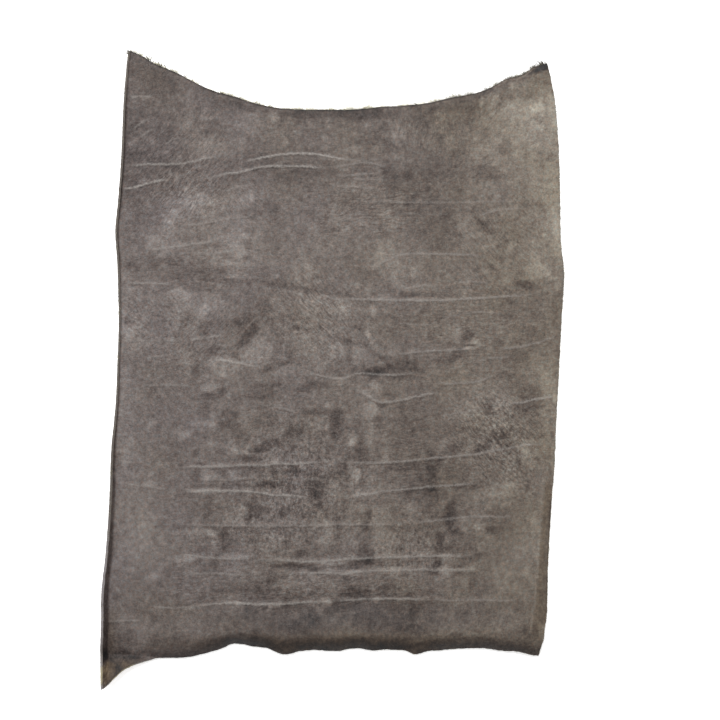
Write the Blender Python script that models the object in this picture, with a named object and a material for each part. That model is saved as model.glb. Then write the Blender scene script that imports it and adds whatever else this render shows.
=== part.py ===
"""Leather hide: one thick piece of distressed leather, lying grain side up.

Its underside is flat on the floor except where the leather lifts. The left margin is turned up as
a narrow lip along its whole length, the lower left corner curls up off the floor, a long low
ripple runs along the lower edge and drops to the floor at the edge itself, and two narrow ridges
roll down to the lower right edge and the upper right edge. Low swells lift the middle a little.

Frame: +X across the hide to the right, +Y along it, +Z up out of the grain. The origin is on the
floor under the middle of the hide's box. Tables and functions are in millimetres.
"""

import math

import bmesh
import bpy
import numpy as np

METRES = 0.001

THICKNESS = 4.5
TIGHTEST_BEND = 7.0  # inner radius that leather of this thickness folds to
ARRIS_ANGLE = math.radians(40)  # edges sharper than this are the cut's own arrises

# Spacing of the mesh's lines: fine by the edges, where the leather bends, and wide between.
LEFT_STATIONS = (0, 3, 6, 9, 12, 15.5, 20, 27, 37)
RIGHT_STATIONS = (0, 4, 8, 12, 16, 22, 31, 43, 57, 72)
BOTTOM_STATIONS = (0, 4.5, 9, 14, 19, 25, 32, 40, 49, 59, 70, 82)
TOP_STATIONS = (0, 4, 8, 12, 17, 24, 34)
OPEN_SPACING = 21


def table(columns, rows):
    """A table's columns by name, each as an array."""
    return dict(zip(columns.split(), np.array(rows, float).T))


# The outline as seen from above. Each table follows one side, a row for each turn of the cut.
LEFT_SIDE = table("y x", (
    (-470, -337), (-450, -339), (-417, -341), (-380, -340), (-343, -340), (-267, -333),
    (-187, -328), (-125, -326), (-45, -319), (8, -317), (70, -315), (153, -317), (203, -320),
    (248, -316), (319, -311), (390, -308), (443, -304), (470, -301),
))
RIGHT_SIDE = table("y x", (
    (-426, 309), (-392, 314), (-356, 319), (-285, 321), (-214, 325), (-143, 328), (-90, 330),
    (-36, 333), (35, 337), (88, 340), (141, 343), (195, 338), (283, 337), (337, 335),
    (390, 331), (426, 325), (452, 319),
))
UPPER_SIDE = table("x y", (
    (-301, 470), (-284, 464), (-266, 454), (-231, 439), (-195, 420), (-178, 412), (-160, 407),
    (-142, 402), (-107, 391), (-71, 385), (-33, 383), (27, 383), (71, 387), (107, 389),
    (142, 393), (178, 402), (213, 409), (237, 418), (261, 431), (284, 437), (299, 446),
    (319, 452),
))
LOWER_SIDE = table("x y", (
    (-337, -470), (-331, -467), (-320, -457), (-308, -446), (-296, -440), (-272, -434),
    (-237, -430), (-213, -430), (-189, -424), (-166, -418), (-142, -409), (-118, -411),
    (-95, -415), (-71, -425), (-47, -419), (-3, -417), (41, -417), (59, -419), (83, -416),
    (107, -419), (130, -424), (154, -418), (189, -415), (237, -416), (261, -418), (284, -421),
    (309, -426),
))

# The lip along the left side: the width of its flank and how steeply it is turned up.
LEFT_LIP = table("y flank degrees", (
    (-470, 6.0, 55), (-420, 8.0, 64), (-345, 7.5, 65), (-270, 7.0, 64), (-190, 6.0, 61),
    (-100, 4.5, 57), (0, 3.2, 52), (70, 3.0, 50), (150, 3.2, 52), (250, 3.5, 55),
    (390, 3.5, 52), (470, 3.0, 45),
))

# The ripple along the lower edge: its crest's height, the crest's distance from the foot that it
# drops to, and the length over which the leather inside the crest comes back down to the floor.
LOWER_RIPPLE = table("x height crest run", (
    (-345, 2.5, 24, 34), (-300, 4, 24, 40), (-237, 8, 22, 46), (-190, 10, 21, 52),
    (-142, 13, 20, 56), (-110, 11, 20, 54), (-71, 7, 22, 46), (-40, 10, 20, 52),
    (41, 12, 20, 56), (70, 10, 20, 54), (130, 7, 22, 46), (165, 11, 20, 52),
    (237, 11, 20, 54), (284, 8, 21, 48), (309, 5, 22, 40),
))

# The lower left corner: the crease where it leaves the floor, and its slope beyond the crease.
CORNER_CREASE_START = (-333, -424)
CORNER_CREASE_FALL = 0.05  # how far the crease falls towards -Y for each unit along +X
CORNER_DEGREES = 37
CORNER_CURLS_FROM = -236  # the curl begins here, going left,
CORNER_CURLS_FULLY = -292  # and has its full slope from here on

# Ridges that roll down to the edge on the other two sides, in the same terms as the ripple.
RIGHT_RIDGE = table("y height crest run", (
    (-426, 2.5, 12, 50), (-380, 4.5, 12, 56), (-330, 7, 12, 60), (-250, 7, 12, 60),
    (-185, 4, 12, 56), (-140, 0, 12, 50), (451, 0, 12, 50),
))
UPPER_RIDGE = table("x height crest run", (
    (-302, 2, 9, 30), (-240, 1.5, 9, 30), (-180, 0, 9, 30), (120, 0, 9, 30), (180, 2, 9, 30),
    (250, 4, 9, 34), (290, 4.5, 9, 34), (317, 3, 9, 30),
))

# Low swells in the middle, where the leather doesn't quite touch the floor.
SWELLS = table("x y half_length half_width degrees height", (
    (-165, 80, 120, 42, -9, 3.4),
    (105, -62, 95, 44, 12, 3.0),
    (236, -105, 80, 62, 60, 2.6),
    (-20, -322, 210, 30, 1, 2.4),
    (-190, 300, 105, 48, 7, 2.4),
    (190, 300, 125, 62, -16, 2.8),
    (30, 165, 95, 36, -5, 2.2),
    (-215, -200, 84, 50, 80, 2.4),
))

LEATHER_COLOR = (0.17, 0.143, 0.126, 1)
LEATHER_ROUGHNESS = 0.6


def clear_scene():
    for obj in list(bpy.data.objects):
        bpy.data.objects.remove(obj)


def along(knots, values, at):
    """The values at `at`, on a smooth curve through a table's rows that never overshoots them."""
    rises = np.diff(values) / np.diff(knots)
    before, after = rises[:-1], rises[1:]
    same_way = before * after > 0
    inner = np.divide(2 * before * after, before + after, where=same_way, out=np.zeros(len(after)))
    slopes = np.concatenate([rises[:1], inner, rises[-1:]])
    row = np.clip(np.searchsorted(knots, at) - 1, 0, len(rises) - 1)
    span = knots[row + 1] - knots[row]
    t = np.clip((at - knots[row]) / span, 0, 1)
    start = (1 + 2 * t) * values[row] + t * span * slopes[row]
    end = (3 - 2 * t) * values[row + 1] + (t - 1) * span * slopes[row + 1]
    return start * (1 - t) ** 2 + end * t ** 2


def ramp(start, end, at):
    """0 before start and 1 past end, with a smooth rise between."""
    t = np.clip((at - start) / (end - start), 0, 1)
    return t * t * (3 - 2 * t)


def turned_up(past, slope):
    """Height of leather that turns up to a slope at a fold line, `past` the line."""
    reach = np.maximum(slope * TIGHTEST_BEND / 2, 1e-6)
    bend = slope * (past + reach) ** 2 / (4 * reach)
    return np.where(past < -reach, 0, np.where(past > reach, slope * past, bend))


def rolled_down(distance, height, crest, run):
    """Height of a ridge that stands `crest` in from its foot and fades over `run` inside it."""
    outer = np.sin(math.pi / 2 * np.clip(distance / crest, 0, 1))
    inner = np.cos(math.pi / 2 * np.clip((distance - crest) / run, 0, 1)) ** 2
    return height * np.where(distance < crest, outer, inner)


def overhang(height, crest):
    """How far the grain reaches past the underside at the foot of a ridge that rolls down."""
    return THICKNESS * np.sin(np.arctan(math.pi / 2 * height / crest))


def lip_at(y):
    flank = along(LEFT_LIP["y"], LEFT_LIP["flank"], y)
    return flank, np.tan(np.radians(along(LEFT_LIP["y"], LEFT_LIP["degrees"], y)))


def ridge_at(rows, knots, at):
    return [along(rows[knots], rows[column], at) for column in ("height", "crest", "run")]


def corner_share(x):
    """1 where the lower left corner curls fully, 0 right of it."""
    return ramp(CORNER_CURLS_FROM, CORNER_CURLS_FULLY, x)


def left_x(y):
    return along(LEFT_SIDE["y"], LEFT_SIDE["x"], y)


def right_x(y):
    height, crest, _ = ridge_at(RIGHT_RIDGE, "y", y)
    return along(RIGHT_SIDE["y"], RIGHT_SIDE["x"], y) - overhang(height, crest)


def upper_y(x):
    height, crest, _ = ridge_at(UPPER_RIDGE, "x", x)
    return along(UPPER_SIDE["x"], UPPER_SIDE["y"], x) - overhang(height, crest)


def lower_y(x):
    height, crest, _ = ridge_at(LOWER_RIPPLE, "x", x)
    tucked = overhang(height, crest) * (1 - corner_share(x))
    return along(LOWER_SIDE["x"], LOWER_SIDE["y"], x) + tucked


def foot_y(x):
    """The line that the lower ripple drops to: the lower edge, or the corner's crease."""
    start_x, start_y = CORNER_CREASE_START
    crease = start_y - CORNER_CREASE_FALL * (x - start_x)
    return np.maximum(lower_y(x), crease)


def swell_height(x, y):
    height = np.zeros_like(x)
    for row in zip(*SWELLS.values()):
        middle_x, middle_y, half_length, half_width, degrees, rise = row
        turn = math.radians(degrees)
        lengthwise = (x - middle_x) * math.cos(turn) + (y - middle_y) * math.sin(turn)
        across = (y - middle_y) * math.cos(turn) - (x - middle_x) * math.sin(turn)
        out = (lengthwise / half_length) ** 2 + (across / half_width) ** 2
        height += rise * np.clip(1 - out, 0, 1) ** 2
    return height


def underside_height(x, y):
    """Height of the underside over the floor: 0 wherever the hide lies flat."""
    flank, lip_slope = lip_at(y)
    height = turned_up(flank - (x - left_x(y)), lip_slope)
    corner_slope = math.tan(math.radians(CORNER_DEGREES)) * corner_share(x)
    height += turned_up(foot_y(x) - y, corner_slope)
    height += rolled_down(np.maximum(y - foot_y(x), 0), *ridge_at(LOWER_RIPPLE, "x", x))
    height += rolled_down(right_x(y) - x, *ridge_at(RIGHT_RIDGE, "y", y))
    height += rolled_down(upper_y(x) - y, *ridge_at(UPPER_RIDGE, "x", x))
    return height + swell_height(x, y)


def stations(length, from_start, from_end):
    """Places along a side, as shares of it: near each end as given, and evenly between."""
    first = from_start[-1]
    last = length - from_end[-1]
    spans = round((last - first) / OPEN_SPACING)
    between = np.linspace(first, last, spans + 1)[1:-1]
    places = (*from_start, *between, *(length - place for place in reversed(from_end)))
    return np.array(places) / length


def plan_of(across, along_side):
    """Plan positions inside the four sides, for a grid of shares across and along the hide."""
    lower_x = np.interp(across, (0, 1), LOWER_SIDE["x"][[0, -1]])
    upper_x = np.interp(across, (0, 1), UPPER_SIDE["x"][[0, -1]])
    left_y = np.interp(along_side, (0, 1), LEFT_SIDE["y"][[0, -1]])
    right_y = np.interp(along_side, (0, 1), RIGHT_SIDE["y"][[0, -1]])
    lower = np.stack([lower_x, lower_y(lower_x)], axis=1)
    upper = np.stack([upper_x, upper_y(upper_x)], axis=1)
    left = np.stack([left_x(left_y), left_y], axis=1)
    right = np.stack([right_x(right_y), right_y], axis=1)
    u = across[None, :, None]
    v = along_side[:, None, None]
    between_ends = (1 - v) * lower[None] + v * upper[None]
    between_sides = (1 - u) * left[:, None] + u * right[:, None]
    lower_corners = (1 - u) * (lower[0] + left[0]) / 2 + u * (lower[-1] + right[0]) / 2
    upper_corners = (1 - u) * (upper[0] + left[-1]) / 2 + u * (upper[-1] + right[-1]) / 2
    return between_ends + between_sides - (1 - v) * lower_corners - v * upper_corners


def leather():
    material = bpy.data.materials.new("leather")
    material.use_nodes = True
    shader = material.node_tree.nodes["Principled BSDF"]
    shader.inputs["Base Color"].default_value = LEATHER_COLOR
    shader.inputs["Roughness"].default_value = LEATHER_ROUGHNESS
    shader.inputs["Metallic"].default_value = 0
    return material


def sheet_mesh(across, along_side):
    """The underside as a grid of faces looking down, which then grows upwards to its thickness."""
    plan = plan_of(across, along_side)
    height = underside_height(plan[..., 0], plan[..., 1])
    points = np.dstack([plan, height]) * METRES
    shell = bmesh.new()
    rows = [[shell.verts.new(point) for point in row] for row in points]
    for lower, upper in zip(rows, rows[1:]):
        for i in range(len(lower) - 1):
            shell.faces.new((lower[i], upper[i], upper[i + 1], lower[i + 1]))
    shell.normal_update()
    bmesh.ops.solidify(shell, geom=shell.faces[:], thickness=THICKNESS * METRES)
    mesh = bpy.data.meshes.new("hide")
    shell.to_mesh(mesh)
    shell.free()
    return mesh


def centre_on_floor(mesh):
    """Moves the mesh so that the middle of its box, in plan, is the origin."""
    points = np.array([vertex.co for vertex in mesh.vertices])
    middle = (points.min(axis=0) + points.max(axis=0)) / 2
    for vertex in mesh.vertices:
        vertex.co.x -= middle[0]
        vertex.co.y -= middle[1]


def make_hide():
    width = RIGHT_SIDE["x"].mean() - LEFT_SIDE["x"].mean()
    length = UPPER_SIDE["y"].mean() - LOWER_SIDE["y"].mean()
    across = stations(width, LEFT_STATIONS, RIGHT_STATIONS)
    along_side = stations(length, BOTTOM_STATIONS, TOP_STATIONS)
    mesh = sheet_mesh(across, along_side)
    centre_on_floor(mesh)
    mesh.shade_smooth()
    mesh.set_sharp_from_angle(angle=ARRIS_ANGLE)
    mesh.materials.append(leather())
    hide = bpy.data.objects.new("hide", mesh)
    bpy.context.collection.objects.link(hide)
    return hide


clear_scene()
make_hide()
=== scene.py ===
"""Looks of the leather hide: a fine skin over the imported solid, its materials, light and camera.

The hide is one closed mesh with the solid's own outline, lip, curled corner and ripples, on which
creases, growth marks and a rough cut edge are raised. Loose fibres stand out of the cut edge.

Tables and shape functions are in millimetres, and angles in tables are in degrees. Their frame is
the one in which the outline is written: X to the right, Y towards the upper side, Z up. The
finished meshes are centred on the floor as the solid is.
"""

import math
from collections import namedtuple

import bpy
import numpy as np
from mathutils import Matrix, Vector


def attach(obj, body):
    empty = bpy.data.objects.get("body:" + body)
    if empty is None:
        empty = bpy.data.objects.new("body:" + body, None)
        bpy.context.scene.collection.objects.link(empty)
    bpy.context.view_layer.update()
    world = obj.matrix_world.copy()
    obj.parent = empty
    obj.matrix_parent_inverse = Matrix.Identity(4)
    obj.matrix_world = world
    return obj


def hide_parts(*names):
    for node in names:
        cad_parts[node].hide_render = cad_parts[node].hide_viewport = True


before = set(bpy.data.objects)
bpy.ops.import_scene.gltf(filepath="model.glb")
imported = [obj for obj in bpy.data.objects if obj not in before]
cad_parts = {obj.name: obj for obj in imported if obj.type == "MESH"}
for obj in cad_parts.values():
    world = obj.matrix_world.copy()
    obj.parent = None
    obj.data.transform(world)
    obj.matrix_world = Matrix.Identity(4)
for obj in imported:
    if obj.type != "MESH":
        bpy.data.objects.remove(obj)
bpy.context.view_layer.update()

METRES = 0.001

THICKNESS = 4.5
TIGHTEST_BEND = 5.2  # radius of the underside at a fold line

# The grain side's grid: its open spacing, and the closer steps from either side inwards.
OPEN_COLUMN, OPEN_ROW = 3.3, 2.25
COLUMN_STEPS = (1.2, 1.2, 1.2, 1.3, 1.4, 1.5, 1.6, 1.8, 2.0, 2.3, 2.6, 3.0)
ROW_STEPS = (1.2, 1.2, 1.3, 1.4, 1.6, 1.8, 2.0)
FLESH_EVERY = 7  # the flesh side keeps one line in so many of that grid,
FLESH_MARGIN = 9  # the first and last lines all,
FLESH_LOWER_MARGIN = 30  # and more by the lower edge, for the corner's crease and the ripple
SHARP_ANGLE = math.radians(50)  # edges that bend by more than this are shaded as sharp


def table(columns, rows):
    """A table's columns by name, each as an array."""
    return dict(zip(columns.split(), np.array(rows, float).T))


# ---- The hide's shape, as in the solid --------------------------------------------------------

LEFT_SIDE = table("y x", (
    (-470, -337), (-450, -339), (-417, -341), (-380, -340), (-343, -340), (-267, -333),
    (-187, -328), (-125, -326), (-45, -319), (8, -317), (70, -315), (153, -317), (203, -320),
    (248, -316), (319, -311), (390, -308), (443, -304), (470, -301),
))
RIGHT_SIDE = table("y x", (
    (-426, 309), (-392, 314), (-356, 319), (-285, 321), (-214, 325), (-143, 328), (-90, 330),
    (-36, 333), (35, 337), (88, 340), (141, 343), (195, 338), (283, 337), (337, 335),
    (390, 331), (426, 325), (452, 319),
))
UPPER_SIDE = table("x y", (
    (-301, 470), (-284, 464), (-266, 454), (-231, 439), (-195, 420), (-178, 412), (-160, 407),
    (-142, 402), (-107, 391), (-71, 385), (-33, 383), (27, 383), (71, 387), (107, 389),
    (142, 393), (178, 402), (213, 409), (237, 418), (261, 431), (284, 437), (299, 446),
    (319, 452),
))
UPPER_INSET = 1.6  # the upper edge's loose fibres fill this, out to the solid's own edge
UPPER_INSET_LEFT = (-298, -262)  # it begins and is full at these places along X,
UPPER_INSET_RIGHT = (314, 284)  # and at these, coming from the right
LOWER_SIDE = table("x y", (
    (-337, -470), (-331, -467), (-320, -457), (-308, -446), (-296, -440), (-272, -434),
    (-237, -430), (-213, -430), (-189, -424), (-166, -418), (-142, -409), (-118, -411),
    (-95, -415), (-71, -425), (-47, -419), (-3, -417), (41, -417), (59, -419), (83, -416),
    (107, -419), (130, -424), (154, -418), (189, -415), (237, -416), (261, -418), (284, -421),
    (309, -426),
))

# How far the lower edge's cut strays inwards from that smooth line.
LOWER_STRAY = table("x inwards", (
    (-300, -1.6), (-269, -0.4), (-249, 1.2), (-232, 0.4), (-207, 1.8), (-188, 0.6), (-163, 1.3),
    (-132, 0.7), (-115, -0.9), (-90, 1.0), (-73, 1.3), (-56, -0.7), (-33, 0.3), (9, -2.0),
    (33, 1.9), (65, 0.7), (87, -1.0), (108, 0.9), (121, -0.6), (139, 2.3), (160, -0.9),
    (178, -0.7), (219, 0.2), (253, -2.0), (274, -0.3), (295, -1.4), (309, 0),
))
# The lower right corner is worn off towards its tip: how far in X, and from where to where in Y.
WORN_CORNER = 5.0
WORN_CORNER_FROM = -396
WORN_CORNER_FULLY = -430

# The lip along the left side: the width of its flank and how steeply it is turned up.
LEFT_LIP = table("y flank degrees", (
    (-470, 6.0, 55), (-420, 7.6, 64), (-345, 6.8, 65), (-270, 6.0, 64), (-190, 5.2, 61),
    (-100, 4.2, 57), (0, 3.2, 52), (70, 3.0, 50), (150, 3.2, 52), (250, 3.5, 55),
    (390, 3.5, 52), (470, 3.0, 45),
))

# The ripple along the lower edge: its crest's height, the crest's distance from the foot that it
# drops to, and the length over which the leather inside the crest comes back down to the floor.
LOWER_RIPPLE = table("x height crest run", (
    (-345, 2.5, 24, 34), (-300, 4, 24, 40), (-237, 8, 22, 46), (-190, 10, 21, 52),
    (-142, 13, 20, 56), (-110, 11, 20, 54), (-71, 7, 22, 46), (-40, 10, 20, 52),
    (41, 12, 20, 56), (70, 10, 20, 54), (130, 7, 22, 46), (165, 11, 20, 52),
    (237, 11, 20, 54), (284, 8, 21, 48), (309, 5, 22, 40),
))

# The lower left corner: the crease where it leaves the floor, and its slope beyond the crease.
CORNER_CREASE_START = (-333, -424)
CORNER_CREASE_FALL = 0.05  # how far the crease falls towards -Y for each millimetre along +X
CORNER_DEGREES = 37
CORNER_CURLS_FROM = -236  # the curl begins here along X, going left,
CORNER_CURLS_FULLY = -292  # and has its full slope from here on

# Ridges that roll down to the edge on the other two sides, in the same terms as the ripple.
RIGHT_RIDGE = table("y height crest run", (
    (-426, 2.5, 12, 50), (-380, 4.5, 12, 56), (-330, 7, 12, 60), (-250, 7, 12, 60),
    (-185, 4, 12, 56), (-140, 0, 12, 50), (451, 0, 12, 50),
))
UPPER_RIDGE = table("x height crest run", (
    (-302, 2, 9, 30), (-240, 1.5, 9, 30), (-180, 0, 9, 30), (120, 0, 9, 30), (180, 2, 9, 30),
    (250, 4, 9, 34), (290, 4.5, 9, 34), (317, 3, 9, 30),
))

# Low swells in the middle, where the leather doesn't quite touch the floor: x, y, half length,
# half width, degrees, height.
SWELLS = (
    (-165, 80, 120, 42, -9, 3.4),
    (105, -62, 95, 44, 12, 3.0),
    (236, -105, 80, 62, 60, 2.6),
    (-20, -322, 210, 30, 1, 2.4),
    (-190, 300, 105, 48, 7, 2.4),
    (190, 300, 125, 62, -16, 2.8),
    (30, 165, 95, 36, -5, 2.2),
    (-215, -200, 84, 50, 80, 2.4),
)

# ---- What lies on the grain, charted -----------------------------------------------------------

# Broad zones: x, y, half length, half width, degrees, and how much lighter or darker
# the leather looks there, in per cent. The rows noted below paint shade.
ZONES = (
    (279, 336, 92, 133, -4, 11), (291, 366, 50, 68, -8, 8), (316, 174, 38, 89, 0, 8),
    (149, 255, 62, 89, 5, -7), (27, 378, 118, 13, -3, -8), (183, 394, 47, 12, 14, -7),
    (-254, 428, 62, 33, -38, -4), (-294, 240, 21, 59, 4, -4), (-177, 221, 86, 59, -12, 6),
    (-247, 77, 74, 56, 20, 4), (308, 100, 59, 44, 0, -3), (116, 55, 89, 50, 5, -3),
    (119, -108, 50, 95, 2, -6), (-47, -152, 163, 89, 4, -2), (-287, -182, 41, 115, -2, 5),
    (282, -270, 38, 89, 0, 4), (-47, -322, 178, 18, 0, -6), (-2, -371, 340, 27, 0, -7),
    # The next line's rows paint shade where the ripple rolls down to the lower edge.
    (-2, -404, 340, 15, 0, -14), (279, -404, 44, 21, -10, -5), (-269, -404, 68, 18, 0, -6),
    (-284, 359, 89, 155, 0, -15), (-2, 322, 385, 74, 0, -5), (338, 299, 27, 163, 0, 11),
    (335, 384, 13, 38, -8, 8), (323, -78, 21, 133, 0, 10), (-307, 70, 21, 104, 0, 8),
    (-307, -78, 21, 89, 0, 8), (-2, -362, 355, 36, 0, -9), (-35, -383, 44, 21, 0, -10),
    # The row at (-319, -427) paints the shadow under the lower left corner's crease, and the one at
    # (-331, -445), two lines down, paints shade over the curled corner.
    (-319, -427, 44, 21, -12, -30), (190, 314, 24, 24, 0, -9), (205, 363, 24, 24, 0, -6),
    (160, -211, 44, 44, 0, -6), (138, -164, 30, 24, 0, -6), (264, -226, 36, 38, 0, -7),
    (-260, 185, 18, 18, 0, 8), (335, 196, 12, 59, 0, 12), (-331, -445, 27, 30, -30, -30),
    (-325, -389, 18, 24, 0, -12), (-165, 399, 50, 18, -20, -8), (60, 345, 18, 15, 0, -8),
    (131, 369, 18, 15, 0, -5), (138, 239, 36, 12, 0, -5), (-82, 215, 21, 21, 0, -6),
    (-8, 212, 18, 18, 0, -6), (-251, -381, 33, 27, 0, -8), (123, -380, 36, 27, 0, -8),
    (-121, -344, 21, 15, 0, -6), (-298, -238, 44, 74, 0, 7), (249, -307, 21, 36, 0, 7),
    (-254, 191, 24, 21, 0, 6), (-289, 64, 21, 41, 0, 6), (-230, 82, 13, 18, 0, 5),
    (-227, 360, 15, 18, 0, 6), (-284, 336, 21, 18, 0, 6), (-103, 40, 18, 30, 0, 5),
    (-136, -66, 13, 12, 0, 6), (258, -51, 15, 12, 0, 6), (261, -152, 13, 30, 0, 6),
    (291, -131, 12, 12, 0, 6), (94, 2, 65, 19, 8, -6), (-84, 299, 111, 44, 0, -5),
    (131, -159, 74, 37, 0, -5), (94, -362, 178, 30, 0, -5), (101, -26, 74, 30, 0, -3),
    (-298, 433, 37, 33, 0, 5), (-247, -248, 67, 52, 0, 5), (230, -48, 37, 59, 0, 4),
    (-173, -29, 37, 33, 0, 4), (301, 171, 33, 37, 0, 5), (301, -263, 33, 67, 0, 4),
    (-303, -29, 33, 33, 0, 3), (-36, 37, 33, 30, 0, 3), (294, 403, 37, 59, 0, 3),
    (64, 270, 126, 59, 0, -3), (57, -362, 222, 30, 0, -3), (-298, -296, 59, 33, 0, 4),
    (230, -96, 33, 33, 0, 3), (131, -233, 67, 81, 0, -2),
)
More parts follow.
